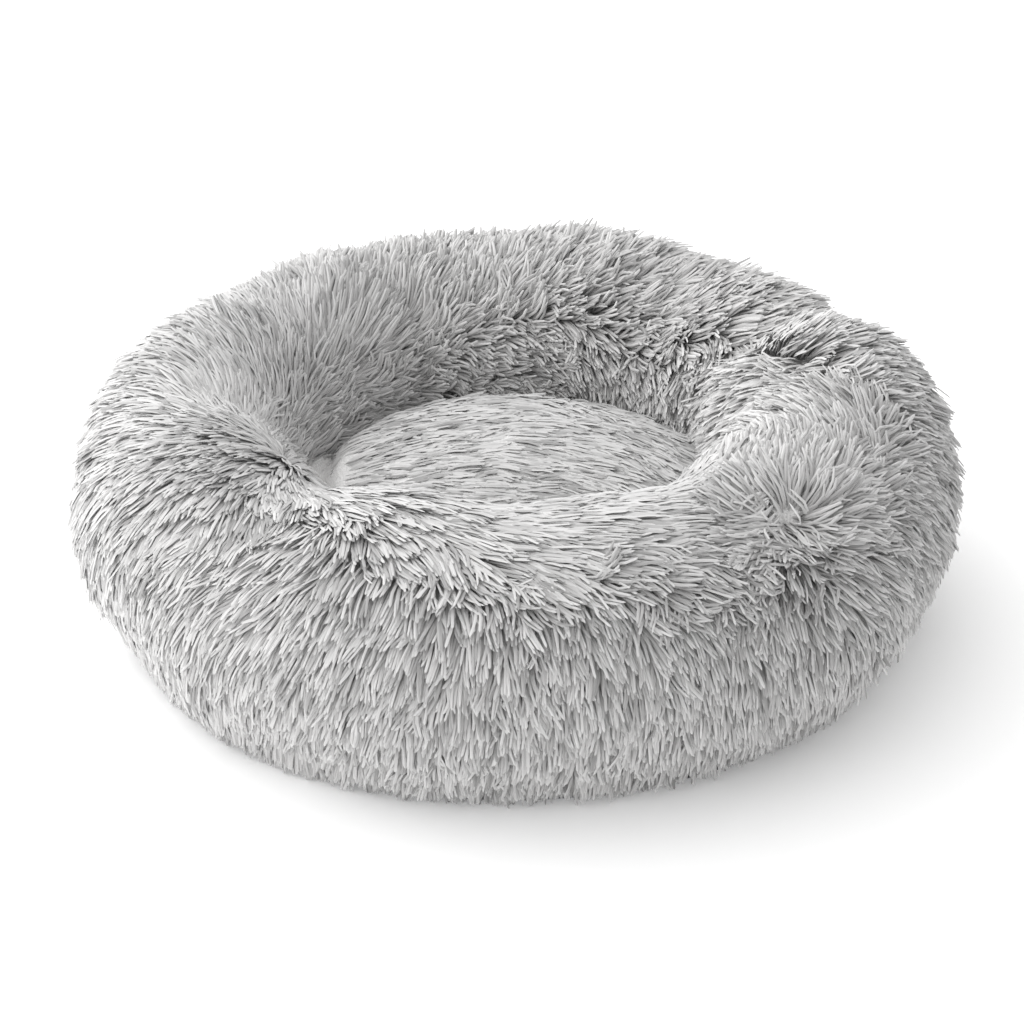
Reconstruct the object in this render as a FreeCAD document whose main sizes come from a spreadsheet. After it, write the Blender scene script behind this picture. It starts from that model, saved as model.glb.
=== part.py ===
import FreeCAD, Part
import math
import os
import Sketcher

# A round plush pet bed: a fur-covered ring bolster around a crowned sleeping mat, on a
# dotted base cloth with a zip across its middle. Millimetres, +Z up, and the origin is
# on the floor under the middle of the bed. The zip runs along X.

doc = FreeCAD.newDocument("pet_bed")

# Driving dimensions: alias, value and what it is.
DIMENSIONS = (
    ("ring_radius", 208, "bed axis to the middle of the bolster tube"),
    ("tube_half", 88, "half width of the bolster tube, over the pile"),
    ("tube_core", 66, "half width of the bolster tube inside its cover"),
    ("tube_low", 80, "height where the tube's lower round ends"),
    ("tube_high", 98, "height where the tube's upper round starts"),
    ("seam_height", 80, "height of the seam between bolster cover and mat cover"),
    ("foot_height", 22, "height where the cover turns in to the base seam"),
    ("foot_radius", 226, "inner radius of the cover at the base seam"),
    ("base_radius", 246, "radius of the base cloth"),
    ("cloth", 0.8, "thickness of the base cloth"),
    ("dot_height", 0.6, "how far the grip dots stand below the base cloth"),
    ("dot_radius", 2.5, "radius of a grip dot"),
    ("dot_pitch", 26, "distance between neighbouring grip dots"),
    ("dot_reach", 230, "largest radius at which a grip dot sits"),
    ("dot_inset", 30, "distance from the zip line to the first grip dots"),
    ("thread", 0.5, "diameter of the sewing thread"),
    ("liner_cloth", 0.6, "thickness of the inner bags"),
    ("liner_gap", 1.2, "room between the fur cover's back and the inner bag"),
    ("liner_bottom", 1.7, "height of the underside of both inner bags"),
    ("fill_gap", 0.3, "room between an inner bag and its filling"),
    ("liner_foot", 223.5, "outer radius of the bolster's inner bag at the base"),
    ("pad_radius", 141.5, "radius of the mat's inner bag"),
    ("pad_shoulder", 76, "height of the side of the mat's inner bag"),
    ("pad_drop", 0.7, "room between the mat cover and the mat's inner bag"),
    ("mat_radius", 119, "radius of the mat cover, just inside the bolster"),
    ("mat_pile", 18, "thickness of the mat cover, over the pile"),
    ("mat_crown", 24, "rise of the mat from its edge to its middle"),
    ("seam_ring", 131, "radius of the seam between bolster cover and mat cover"),
    ("closing_seam_angle", 118, "where the bolster cover's end seam is, degrees from +X"),
    ("strip_half", 22, "half width of the two strips that hold the zip"),
    ("recess_length", 132, "half length of the zip's recess at the base"),
    ("recess_width", 20, "half width of the zip's recess at the base"),
    ("recess_slope", 6, "how far the recess's walls lean in"),
    ("recess_roof", 7.3, "height of the underside of the recess's roof"),
    ("dent_height", 12.6, "height of the room over the zip, in the mat's filling"),
    ("dent_length", 134, "half length of that room"),
    ("dent_width", 22.5, "half width of that room"),
    ("slot_half", 5.5, "half width of the zip's slot in the roof"),
    ("slot_length", 110, "half length of the zip's slot in the roof"),
    ("zip_half", 105, "half length of the zip's teeth"),
    ("tape_half", 118, "half length of the zip's tapes"),
    ("tape_outer", 13.5, "zip line to the outer edge of a tape"),
    ("tape_cloth", 0.6, "thickness of a tape"),
    ("coil_inner", 0.8, "zip line to the inner edge of a coil"),
    ("coil_outer", 3.4, "zip line to the outer edge of a coil"),
    ("coil_height", 2.4, "height of a coil"),
    ("stop_length", 2, "length of a stop along the zip"),
    ("stop_outer", 5, "zip line to the outer edge of a stop"),
    ("stop_height", 2, "height of a stop"),
    ("row_offset", 8, "zip line to the stitches that hold a tape"),
    ("strip_row", 25, "zip line to the stitches beside the strips"),
    ("strip_row_half", 236, "half length of the stitches beside the strips"),
    ("perimeter_row", 240, "radius of the stitches round the base"),
    ("tack_length", 1.2, "length of an end tack along the zip"),
    ("tack_half", 4, "half width of an end tack"),
    ("tack_place", 113, "middle of the zip to an end tack"),
    ("slider_length", 11, "length of the slider"),
    ("slider_half", 4.6, "half width of the slider"),
    ("slider_gap", 3.2, "height of the channel in the slider"),
    ("slider_plate", 0.9, "thickness of each slider plate"),
    ("slider_round", 1.4, "corner radius of the slider plates"),
    ("bridge_length", 3.4, "length of the slider's bridge"),
    ("bridge_half", 0.5, "half width of the slider's bridge"),
    ("lip_thick", 0.8, "thickness of the slider's side lips"),
    ("lip_height", 1, "height of the slider's side lips"),
    ("slider_closed", 99, "place of the slider with the zip closed"),
    ("lug_half_length", 3, "half length of the slider's lug"),
    ("lug_half_width", 0.8, "half width of the slider's lug"),
    ("lug_depth", 2.7, "how far the lug stands below the slider"),
    ("lug_hole", 0.95, "radius of the hole in the lug"),
    ("pivot_height", 4.6, "height of the pull tab's pivot"),
    ("pivot_radius", 0.7, "radius of the pull tab's crossbar"),
    ("tab_length", 25, "length of the pull tab from its pivot"),
    ("tab_half", 3, "half width of the pull tab"),
    ("tab_thick", 1.2, "thickness of the pull tab"),
    ("tab_knuckle", 1.1, "reach of the pull tab behind its pivot"),
    ("tab_window", 4.2, "length of the pull tab's window from its pivot"),
    ("tab_arm", 1.2, "half width of the pull tab's window"),
    ("tab_rest", 8, "how far the pull tab hangs down at rest, in degrees"),
)

sheet = doc.addObject("Spreadsheet::Sheet", "sizes")
for row, (alias, value, note) in enumerate(DIMENSIONS, start=1):
    sheet.set(f"A{row}", note)
    sheet.set(f"B{row}", str(value))
    sheet.setAlias(f"B{row}", alias)
doc.recompute()
ALIASES = {alias for alias, value, note in DIMENSIONS}


def size(alias):
    return float(sheet.get(alias))


def cells(formula):
    """A formula of aliases and numbers, parted by spaces, as an expression on the sheet."""
    return " ".join("sizes." + word if word in ALIASES else word for word in formula.split())


def total(formula):
    """The value of a sum such as 'tube_low + tube_half'. A plain number is its own value."""
    if not isinstance(formula, str):
        return formula
    sign, value = 1, 0.0
    for word in formula.split():
        if word in "+-":
            sign = 1 if word == "+" else -1
        else:
            value += sign * (size(word) if word in ALIASES else float(word))
    return value


def bind(thing, **formulas):
    """Bind properties to the sheet. base_x, base_y and base_z are the placement's."""
    for name, formula in formulas.items():
        path = "Placement.Base." + name[-1] if name.startswith("base_") else name
        thing.setExpression(path, cells(formula))
    return thing


# ---- Turned pieces: a section in the XZ plane, turned about Z ----

def draw_section(sketch, corners, edges):
    """Draw a closed outline. A corner's coordinate is bound if it is a formula, 'axis' puts
    it on the turning axis, and a plain number follows from the arcs. An edge is None for a
    straight line, or (centre x, centre z, radius, turn) for an arc."""
    first, ends = len(sketch.Geometry), []
    points = [
        FreeCAD.Vector(0.0 if x == "axis" else total(x), total(z), 0) for x, z in corners
    ]
    for index, edge in enumerate(edges):
        start, end = points[index], points[(index + 1) % len(points)]
        if edge is None:
            sketch.addGeometry(Part.LineSegment(start, end))
            ends.append((1, 2))
            continue
        centre = FreeCAD.Vector(0.0 if edge[0] == "axis" else total(edge[0]), total(edge[1]), 0)
        angles = [math.atan2(p.y - centre.y, p.x - centre.x) for p in (start, end)]
        ends.append((1, 2) if edge[3] == "left" else (2, 1))
        if edge[3] == "right":
            angles.reverse()
        if angles[1] <= angles[0]:
            angles[1] += 2 * math.pi
        circle = Part.Circle(centre, FreeCAD.Vector(0, 0, 1), total(edge[2]))
        sketch.addGeometry(Part.ArcOfCircle(circle, *angles))
    for index, (start_end, next_end) in enumerate(zip(ends, ends[1:] + ends[:1])):
        following = first + (index + 1) % len(edges)
        join = Sketcher.Constraint("Coincident", first + index, start_end[1], following, next_end[0])
        sketch.addConstraint(join)
    for index, (x, z) in enumerate(corners):
        place_point(sketch, first + index, ends[index][0], x, z)
    for index, edge in enumerate(edges):
        if edge is None:
            continue
        place_point(sketch, first + index, 3, edge[0], edge[1])
        if isinstance(edge[2], str):
            radius = Sketcher.Constraint("Radius", first + index, total(edge[2]))
            bind_constraint(sketch, radius, edge[2])


def place_point(sketch, geometry, end, x, z):
    if x == "axis":
        sketch.addConstraint(Sketcher.Constraint("PointOnObject", geometry, end, -2))
    for kind, formula in (("DistanceX", x), ("DistanceY", z)):
        if isinstance(formula, str) and formula != "axis":
            distance = Sketcher.Constraint(kind, -1, 1, geometry, end, total(formula))
            bind_constraint(sketch, distance, formula)


def bind_constraint(sketch, constraint, formula):
    index = sketch.addConstraint(constraint)
    sketch.renameConstraint(index, f"size{index}")
    sketch.setExpression(f"Constraints.size{index}", cells(formula))


def turned(name, *sections):
    """A body turned from closed sections; a second section is a hollow inside the first."""
    body = doc.addObject("PartDesign::Body", name)
    plane = next(f for f in body.Origin.OriginFeatures if f.Role == "XZ_Plane")
    sketch = body.newObject("Sketcher::SketchObject", name + "_section")
    sketch.AttachmentSupport = (plane, [""])
    sketch.MapMode = "FlatFace"
    for corners, edges in sections:
        draw_section(sketch, corners, edges)
    doc.recompute()
    turn = body.newObject("PartDesign::Revolution", name + "_turn")
    turn.Profile = sketch
    turn.ReferenceAxis = (sketch, ["V_Axis"])
    turn.Angle = 360
    return body


def across(radius, height, centre_height):
    """Half the width of a round of this radius, this far above its lowest point's level."""
    return math.sqrt(radius**2 - (centre_height - height) ** 2)


def bolster_cover():
    """The fur tube: over the top and down both sides, open below where the base closes it."""
    middle, half, core = size("ring_radius"), size("tube_half"), size("tube_core")
    foot = middle + across(half, total("dot_height + cloth"), size("tube_low"))
    turn_in = middle + across(core, size("foot_height"), size("tube_low"))
    corners = [
        (foot, "dot_height + cloth"),
        (middle + half, "tube_low"),
        (middle + half, "tube_high"),
        (middle - half, "tube_high"),
        ("ring_radius - tube_half", "seam_height"),
        ("ring_radius - tube_core", "seam_height"),
        (middle - core, "tube_high"),
        (middle + core, "tube_high"),
        (middle + core, "tube_low"),
        (turn_in, "foot_height"),
        ("foot_radius", "dot_height + cloth"),
    ]
    edges = [
        ("ring_radius", "tube_low", "tube_half", "left"),
        None,
        ("ring_radius", "tube_high", "tube_half", "left"),
        None,
        None,
        None,
        ("ring_radius", "tube_high", "tube_core", "right"),
        None,
        ("ring_radius", "tube_low", "tube_core", "right"),
        None,
        None,
    ]
    return turned("bolster_fur_cover", (corners, edges))


def bolster_core(inset):
    """The bolster's filling space, this formula of aliases further in than the cover."""
    middle, radius = size("ring_radius"), total(f"tube_core - {inset}")
    turn_in = middle + across(radius, size("foot_height"), size("tube_low"))
    reach = inset.replace(" + ", " - ")
    bottom = f"liner_bottom + {inset} - liner_gap"
    corners = [
        (f"liner_foot - {reach} + liner_gap", bottom),
        (turn_in, "foot_height"),
        (middle + radius, "tube_low"),
        (middle + radius, "tube_high"),
        (middle - radius, "tube_high"),
        (f"ring_radius - tube_core + {inset}", bottom),
    ]
    edges = [
        None,
        ("ring_radius", "tube_low", f"tube_core - {reach}", "left"),
        None,
        ("ring_radius", "tube_high", f"tube_core - {reach}", "left"),
        None,
        None,
    ]
    return corners, edges


def mat_cover():
    """The mat's crowned fur disc."""
    low = ("mat_radius", "seam_height"), ("axis", "seam_height + mat_crown")
    top = "seam_height + mat_pile", "seam_height + mat_pile + mat_crown"
    dome = crown_radius()
    corners = [low[1], low[0], ("mat_radius", top[0]), ("axis", top[1])]
    edges = [
        ("axis", total(low[1][1]) - dome, dome, "right"),
        None,
        ("axis", total(top[1]) - dome, dome, "left"),
        None,
    ]
    return turned("mat_fur_cover", (corners, edges))


def crown_radius():
    rise = size("mat_crown")
    return (size("mat_radius") ** 2 + rise**2) / (2 * rise)


def mat_core(inset):
    """The mat pad's space under the fur disc, this formula further in than its bag."""
    reach = inset.replace(" + ", " - ")
    edge_height = f"seam_height - pad_drop - {reach}"
    crown_height = f"seam_height + mat_crown - pad_drop - {reach}"
    corners = [
        ("axis", f"liner_bottom + {inset}"),
        (f"pad_radius - {reach}", f"liner_bottom + {inset}"),
        (f"pad_radius - {reach}", f"pad_shoulder - {reach}"),
        ("mat_radius", edge_height),
        ("axis", crown_height),
    ]
    dome = crown_radius()
    edges = [None, None, None, ("axis", total(crown_height) - dome, dome, "left"), None]
    return corners, edges


# ---- Cut, joined and boxed pieces ----

def box(name, x, y, z):
    """A box bound to the sheet, from (low, high) formulas along each axis."""
    block = doc.addObject("Part::Box", name)
    spans = dict(Length=x, Width=y, Height=z)
    for side, (low, high) in spans.items():
        bind(block, **{side: f"( {high} ) - ( {low} )"})
    return bind(block, base_x=x[0], base_y=y[0], base_z=z[0])


def cylinder(name, radius, length, **place):
    rod = doc.addObject("Part::Cylinder", name)
    return bind(rod, Radius=radius, Height=length, **place)


def cut(name, base, tool):
    piece = doc.addObject("Part::Cut", name)
    piece.Base, piece.Tool = base, tool
    return piece


def fuse(name, *pieces):
    piece = doc.addObject("Part::MultiFuse", name)
    piece.Shapes = list(pieces)
    return piece


def common(name, *pieces):
    piece = doc.addObject("Part::MultiCommon", name)
    piece.Shapes = list(pieces)
    return piece


def frustum(name, low, high, grow):
    """The zip recess's shape between two heights, grown sideways by a formula."""
    wedge = doc.addObject("Part::Wedge", name)
    spans = dict(
        Ymin="0",
        Ymax=f"{high} - ( {low} )",
        Xmin=f"0 - ( recess_length + {grow} )",
        Xmax=f"recess_length + {grow}",
        Zmin=f"0 - ( recess_width + {grow} )",
        Zmax=f"recess_width + {grow}",
        X2min=f"0 - ( recess_length + {grow} - recess_slope )",
        X2max=f"recess_length + {grow} - recess_slope",
        Z2min=f"0 - ( recess_width + {grow} - recess_slope )",
        Z2max=f"recess_width + {grow} - recess_slope",
    )
    bind(wedge, **spans)
    upright = FreeCAD.Rotation(FreeCAD.Vector(1, 0, 0), 90)
    wedge.Placement = FreeCAD.Placement(FreeCAD.Vector(0, 0, 0), upright)
    return bind(wedge, base_z=low)


def base_pieces():
    """The base cloth: two dotted panels, and two strips that rise over the zip's recess."""
    disc = cylinder("base_disc", "base_radius", "cloth", base_z="dot_height")
    hood = frustum("recess_outside", "dot_height", "recess_roof + cloth", "cloth")
    hollow = frustum("recess_inside", "dot_height", "recess_roof", "0")
    shell = cut("base_shell", fuse("base_and_hood", disc, hood), hollow)
    reach, tall = "base_radius + 1", ("0 - 1", "recess_roof + 2")
    slot = box(
        "zip_slot",
        ("0 - slot_length", "slot_length"),
        ("0 - slot_half", "slot_half"),
        ("recess_roof - 1", "recess_roof + cloth + 1"),
    )
    open_shell = cut("base_shell_open", shell, slot)
    pieces = []
    sides = (
        ("front", (f"0 - ( {reach} )", "0 - strip_half"), ("0 - strip_half", "0")),
        ("rear", ("strip_half", reach), ("0", "strip_half")),
    )
    for side, panel_span, strip_span in sides:
        along = f"0 - ( {reach} )", reach
        half = common(f"plain_{side}", open_shell, box(f"{side}_half", along, panel_span, tall))
        panel = fuse(f"base_panel_{side}", half, grip_dots(side))
        strip = common(
            f"zip_strip_{side}", open_shell, box(f"{side}_strip_space", along, strip_span, tall)
        )
        pieces += [panel, strip]
    return pieces


def grip_dots(side):
    """Short grip pegs on a staggered grid under one base panel, as one compound."""
    pitch, radius, tall = size("dot_pitch"), size("dot_radius"), size("dot_height")
    rows = int(size("dot_reach") / (pitch * math.sqrt(0.75))) + 1
    toward = -1 if side == "front" else 1
    pegs = []
    for row in range(rows):
        y = toward * (size("dot_inset") + row * pitch * math.sqrt(0.75))
        shift = pitch / 2 if row % 2 else 0
        for column in range(-rows, rows + 1):
            x = column * pitch + shift
            if math.hypot(x, y) <= size("dot_reach"):
                pegs.append(Part.makeCylinder(radius, 1.5 * tall, FreeCAD.Vector(x, y, 0)))
    dots = doc.addObject("Part::Feature", f"grip_dots_{side}")
    dots.Shape = Part.makeCompound(pegs)
    return dots


def mirrored_spans(low, high):
    """The same span on the front and rear side of the zip line."""
    return (("front", (f"0 - {high}", f"0 - {low}")), ("rear", (low, high)))


TAPE_LOW = "recess_roof + cloth"
COIL_MIDDLE = "recess_roof + cloth + tape_cloth / 2"


def around(middle, height):
    """A span of this height around a middle, as formulas."""
    return f"{middle} - {height} / 2", f"{middle} + {height} / 2"


def zip_pieces():
    """Tapes, coils, stops and end tacks. The teeth stand apart to let the slider's bridge by."""
    pieces, tapes = [], []
    for side, span in mirrored_spans("coil_outer", "tape_outer"):
        height = TAPE_LOW, f"{TAPE_LOW} + tape_cloth"
        tapes.append(box(f"zip_tape_{side}", ("0 - tape_half", "tape_half"), span, height))
    for side, span in mirrored_spans("coil_inner", "coil_outer"):
        height = around(COIL_MIDDLE, "coil_height")
        pieces.append(box(f"zip_coil_{side}", ("0 - zip_half", "zip_half"), span, height))
    both_tapes = fuse("both_tapes", *tapes)
    stop_z = around(COIL_MIDDLE, "stop_height")
    top_x = "zip_half + 0.4", "zip_half + 0.4 + stop_length"
    clips = [
        box(f"top_clip_{side}", top_x, span, stop_z)
        for side, span in mirrored_spans("coil_inner", "stop_outer")
    ]
    bottom_x = "0 - zip_half - 0.4 - stop_length", "0 - zip_half - 0.4"
    bar = box("bottom_bar", bottom_x, ("0 - stop_outer", "stop_outer"), stop_z)
    pieces.append(cut("zip_top_stops", fuse("top_clips", *clips), both_tapes))
    pieces.append(cut("zip_bottom_stop", bar, both_tapes))
    tacks = [
        box(
            f"tack_{name}",
            (f"{place} - tack_length / 2", f"{place} + tack_length / 2"),
            ("0 - tack_half", "tack_half"),
            ("recess_roof - thread", "recess_roof"),
        )
        for name, place in (("open_end", "0 - tack_place"), ("closed_end", "tack_place"))
    ]
    pieces.append(fuse("zip_end_tacks", *tacks))
    return tapes + pieces


def slider():
    """The slider: two plates joined by a bridge, with side lips and a lug for the tab."""
    under = f"{COIL_MIDDLE} - slider_gap / 2"
    over = f"{COIL_MIDDLE} + slider_gap / 2"
    along = "slider_closed - slider_length / 2", "slider_closed + slider_length / 2"
    wide = "0 - slider_half", "slider_half"
    plates = [
        rounded_plate("slider_under_plate", along, wide, (f"{under} - slider_plate", under)),
        rounded_plate("slider_over_plate", along, wide, (over, f"{over} + slider_plate")),
    ]
    short = f"{along[0]} + slider_round", f"{along[1]} - slider_round"
    lips = [
        box(f"slider_lip_{side}_{level}", short, span, height)
        for side, span in mirrored_spans("( slider_half - lip_thick )", "slider_half")
        for level, height in (
            ("under", (under, f"{under} + lip_height")),
            ("over", (f"{over} - lip_height", over)),
        )
    ]
    bridge = box(
        "slider_bridge",
        ("slider_closed - bridge_length / 2", "slider_closed + bridge_length / 2"),
        ("0 - bridge_half", "bridge_half"),
        (under, over),
    )
    lug = box(
        "slider_lug",
        ("slider_closed - lug_half_length", "slider_closed + lug_half_length"),
        ("0 - lug_half_width", "lug_half_width"),
        (f"{under} - slider_plate - lug_depth", f"{under} - slider_plate"),
    )
    eye = cylinder(
        "slider_eye",
        "lug_hole",
        "4 * lug_half_width",
        base_x="slider_closed",
        base_y="2 * lug_half_width",
        base_z="pivot_height",
    )
    turn_to_y(eye)
    return fuse("zip_slider", *plates, *lips, bridge, cut("lug_with_eye", lug, eye))


def turn_to_y(rod):
    """Lay an upright rod along -Y, from its bound base."""
    rod.Placement = FreeCAD.Placement(
        rod.Placement.Base, FreeCAD.Rotation(FreeCAD.Vector(1, 0, 0), 90)
    )


def rounded_plate(name, x, y, z):
    plate = box(name + "_blank", x, y, z)
    doc.recompute()
    upright = [
        number
        for number, edge in enumerate(plate.Shape.Edges, start=1)
        if abs(edge.tangentAt(edge.FirstParameter).z) > 0.9
    ]
    rounded = doc.addObject("Part::Fillet", name)
    rounded.Base = plate
    radius = size("slider_round")
    rounded.Edges = [(number, radius, radius) for number in upright]
    return rounded


def pull_tab():
    """The pull tab: a plate with a window for the lug, and a crossbar through the lug's eye.
    It is drawn lying level towards -X and then hung down by its rest angle."""
    length, half, thick = size("tab_length"), size("tab_half"), size("tab_thick")
    knuckle, window, arm = size("tab_knuckle"), size("tab_window"), size("tab_arm")
    plate = Part.makeBox(
        length + knuckle, 2 * half, thick, FreeCAD.Vector(-length, -half, -thick / 2)
    )
    corners = [e for e in plate.Edges if abs(e.tangentAt(e.FirstParameter).z) > 0.9]
    far = [e for e in corners if e.CenterOfMass.x < -length / 2]
    plate = plate.makeFillet(half - 0.5, far)
    opening = Part.makeBox(
        window + knuckle + 1, 2 * arm, 2 * thick, FreeCAD.Vector(-window, -arm, -thick)
    )
    bar_start = FreeCAD.Vector(0, -half, 0)
    bar = Part.makeCylinder(size("pivot_radius"), 2 * half, bar_start, FreeCAD.Vector(0, 1, 0))
    knuckle_rod = Part.makeCylinder(knuckle, 2 * half, bar_start, FreeCAD.Vector(0, 1, 0))
    block = Part.makeBox(
        knuckle, 2 * half, thick, FreeCAD.Vector(0, -half, -thick / 2)
    )
    plate = plate.cut(block).fuse(block.common(knuckle_rod)).cut(opening).fuse(bar)
    tab = doc.addObject("Part::Feature", "zip_pull_tab")
    tab.Shape = plate.removeSplitter()
    pivot = FreeCAD.Vector(size("slider_closed"), 0, size("pivot_height"))
    hang = FreeCAD.Rotation(FreeCAD.Vector(0, 1, 0), -size("tab_rest"))
    tab.Placement = FreeCAD.Placement(pivot, hang)
    return tab


# ---- Threads ----

def ring_thread(name, radius, height):
    ring = doc.addObject("Part::Torus", name)
    return bind(ring, Radius1=radius, Radius2="thread / 2", base_z=height)


def straight_rows(name, offset, half_length, height):
    """Two rows of stitches along the zip, one each side of it."""
    rows = []
    for side, sign in (("front", "0 - "), ("rear", "")):
        row = cylinder(
            f"{name}_{side}",
            "thread / 2",
            f"2 * {half_length}",
            base_x=f"0 - {half_length}",
            base_y=sign + offset,
            base_z=height,
        )
        along = FreeCAD.Rotation(FreeCAD.Vector(0, 1, 0), 90)
        row.Placement = FreeCAD.Placement(row.Placement.Base, along)
        rows.append(row)
    return fuse(name, *rows)


def closing_seam():
    """The seam that closes the bolster cover into a ring, behind the fur on its inside."""
    middle, low, high = size("ring_radius"), size("tube_low"), size("tube_high")
    radius = size("tube_core") - size("liner_gap") / 2
    start_height = size("foot_height") + 1

    def at(x, z):
        return FreeCAD.Vector(x, 0, z)

    def bend(centre_height, first, last):
        angles = (first, (first + last) / 2, last)
        places = [
            at(middle + radius * math.cos(a), centre_height + radius * math.sin(a)) for a in angles
        ]
        return Part.Arc(*places).toShape()

    first = math.asin((start_height - low) / radius)
    path = Part.Wire(
        [
            bend(low, first, 0),
            Part.LineSegment(at(middle + radius, low), at(middle + radius, high)).toShape(),
            bend(high, 0, math.pi),
            Part.LineSegment(at(middle - radius, high), at(middle - radius, low + 1)).toShape(),
        ]
    )
    start = at(middle + radius * math.cos(first), start_height)
    heading = FreeCAD.Vector(-math.sin(first), 0, math.cos(first))
    circle = Part.Wire(Part.Circle(start, heading, size("thread") / 2).toShape())
    thread = doc.addObject("Part::Feature", "bolster_closing_seam")
    thread.Shape = path.makePipeShell([circle], True, True)
    turn = FreeCAD.Rotation(FreeCAD.Vector(0, 0, 1), size("closing_seam_angle"))
    thread.Placement = FreeCAD.Placement(FreeCAD.Vector(0, 0, 0), turn)
    return thread


# ---- The bed ----

sub_parts = [bolster_cover(), mat_cover()]

IN_BAG = "liner_gap + liner_cloth"
sub_parts.append(turned("bolster_liner", bolster_core("liner_gap"), bolster_core(IN_BAG)))
sub_parts.append(turned("bolster_fill", bolster_core(IN_BAG + " + fill_gap")))

# The mat's bag and filling both leave room for the zip under them.
dent_spans = ("0 - dent_length", "dent_length"), ("0 - dent_width", "dent_width")


def dented(name, pad, growth):
    """A mat shape with the zip's room cut from its underside, grown by a formula."""
    (x_low, x_high), (y_low, y_high) = dent_spans
    room = box(
        name + "_room",
        (f"{x_low} - ( {growth} )", f"{x_high} + {growth}"),
        (f"{y_low} - ( {growth} )", f"{y_high} + {growth}"),
        ("0", f"dent_height + {growth}"),
    )
    return cut(name, pad, room)


bag_outside = dented("mat_bag_outside", turned("mat_bag_form", mat_core("0")), "0")
bag_inside = dented("mat_bag_inside", turned("mat_bag_hollow", mat_core("liner_cloth")), "liner_cloth")
sub_parts.append(cut("mat_liner", bag_outside, bag_inside))
IN_MAT = "liner_cloth + fill_gap"
sub_parts.append(dented("mat_fill", turned("mat_fill_form", mat_core(IN_MAT)), IN_MAT))

sub_parts += base_pieces()
sub_parts += zip_pieces()
sub_parts += [slider(), pull_tab()]

sub_parts.append(ring_thread("base_stitching", "perimeter_row", "dot_height - thread / 2"))
sub_parts.append(ring_thread("mat_seam", "seam_ring", "seam_height - thread / 2"))
sub_parts.append(straight_rows("zip_stitching", "row_offset", "zip_half", "recess_roof - thread / 2"))
sub_parts.append(straight_rows("strip_stitching", "strip_row", "strip_row_half", "dot_height - thread / 2"))
sub_parts.append(closing_seam())

doc.recompute()

failed = [o.Label for o in doc.Objects if "Invalid" in o.State or "Error" in o.State]
if failed:
    raise SystemExit(f"these objects failed: {failed}")
for piece in sub_parts:
    if piece.Shape.isNull() or not piece.Shape.isValid():
        raise SystemExit(f"{piece.Label} has no valid shape")

os.makedirs("parts", exist_ok=True)
for piece in sub_parts:
    piece.Shape.exportStep(f"parts/{piece.Label}.step")
    bounds = piece.Shape.optimalBoundingBox(False)
    print(
        f"{piece.Label:24} solids {len(piece.Shape.Solids)}  volume {piece.Shape.Volume:12.1f}  "
        f"z {bounds.ZMin:7.2f} to {bounds.ZMax:7.2f}  x {bounds.XMin:8.2f} to {bounds.XMax:8.2f}  "
        f"y {bounds.YMin:8.2f} to {bounds.YMax:8.2f}"
    )
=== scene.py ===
import math

import bmesh
import bpy
import numpy as np
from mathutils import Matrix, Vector, kdtree


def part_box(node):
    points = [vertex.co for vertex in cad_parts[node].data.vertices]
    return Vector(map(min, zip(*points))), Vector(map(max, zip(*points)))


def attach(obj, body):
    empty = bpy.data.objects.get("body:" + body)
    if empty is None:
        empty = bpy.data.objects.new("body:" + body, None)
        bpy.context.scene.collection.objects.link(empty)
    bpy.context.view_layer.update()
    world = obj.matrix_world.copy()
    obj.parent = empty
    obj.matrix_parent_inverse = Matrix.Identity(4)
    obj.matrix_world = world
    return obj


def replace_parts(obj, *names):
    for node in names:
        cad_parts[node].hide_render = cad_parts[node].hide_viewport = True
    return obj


# A round plush pet bed: locks of long pile on a ring bolster and on the mat inside it,
# over a dotted base cloth with a zip. Metres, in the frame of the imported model.

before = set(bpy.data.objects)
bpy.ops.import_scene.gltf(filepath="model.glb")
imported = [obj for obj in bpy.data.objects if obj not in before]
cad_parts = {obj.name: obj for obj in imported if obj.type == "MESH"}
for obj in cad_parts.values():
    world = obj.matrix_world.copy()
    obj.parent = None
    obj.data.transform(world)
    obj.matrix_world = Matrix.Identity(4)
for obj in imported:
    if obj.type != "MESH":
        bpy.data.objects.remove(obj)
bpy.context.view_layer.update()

# The ring's middle line lies this far in from the outside of the pile.
TUBE = 0.088
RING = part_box("bolster_fur_cover")[1].x - TUBE
MAT_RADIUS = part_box("mat_fur_cover")[1].x
MAT_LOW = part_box("mat_fur_cover")[0].z
MAT_CROWN = 0.024
SEAM_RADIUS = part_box("mat_seam")[1].x - 0.00025
BASE_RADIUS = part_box("zip_strip_rear")[1].x

rng = np.random.default_rng(4107)


# ---- Camera, floor and light ----

def look_at(thing, place, target):
    thing.location = place
    thing.rotation_euler = (Vector(target) - Vector(place)).to_track_quat("-Z", "Y").to_euler()


def link(thing):
    bpy.context.scene.collection.objects.link(thing)
    return thing


ELEVATION = math.radians(27.6)
DISTANCE = 2.4
LENS = 128.5
camera = link(bpy.data.objects.new("camera", bpy.data.cameras.new("camera")))
camera.data.lens = LENS
aim = Vector((0, 0, 0.069))
back = Vector((0, -math.cos(ELEVATION), math.sin(ELEVATION)))
look_at(camera, aim + DISTANCE * back, aim)
bpy.context.scene.camera = camera
bpy.context.scene.view_settings.view_transform = "Standard"


KEY_PLACE, KEY_TARGET = (-1.9, 0.8, 1.9), (0, 0, 0.05)
KEY_SIZE, KEY_POWER = 2.4, 14.5
lamp = bpy.data.lights.new("key", "AREA")
lamp.shape = "SQUARE"
lamp.size = KEY_SIZE
lamp.energy = KEY_POWER
look_at(link(bpy.data.objects.new("key", lamp)), KEY_PLACE, KEY_TARGET)

world = bpy.data.worlds.new("studio")
bpy.context.scene.world = world
world.use_nodes = True


# ---- Materials ----

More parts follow.
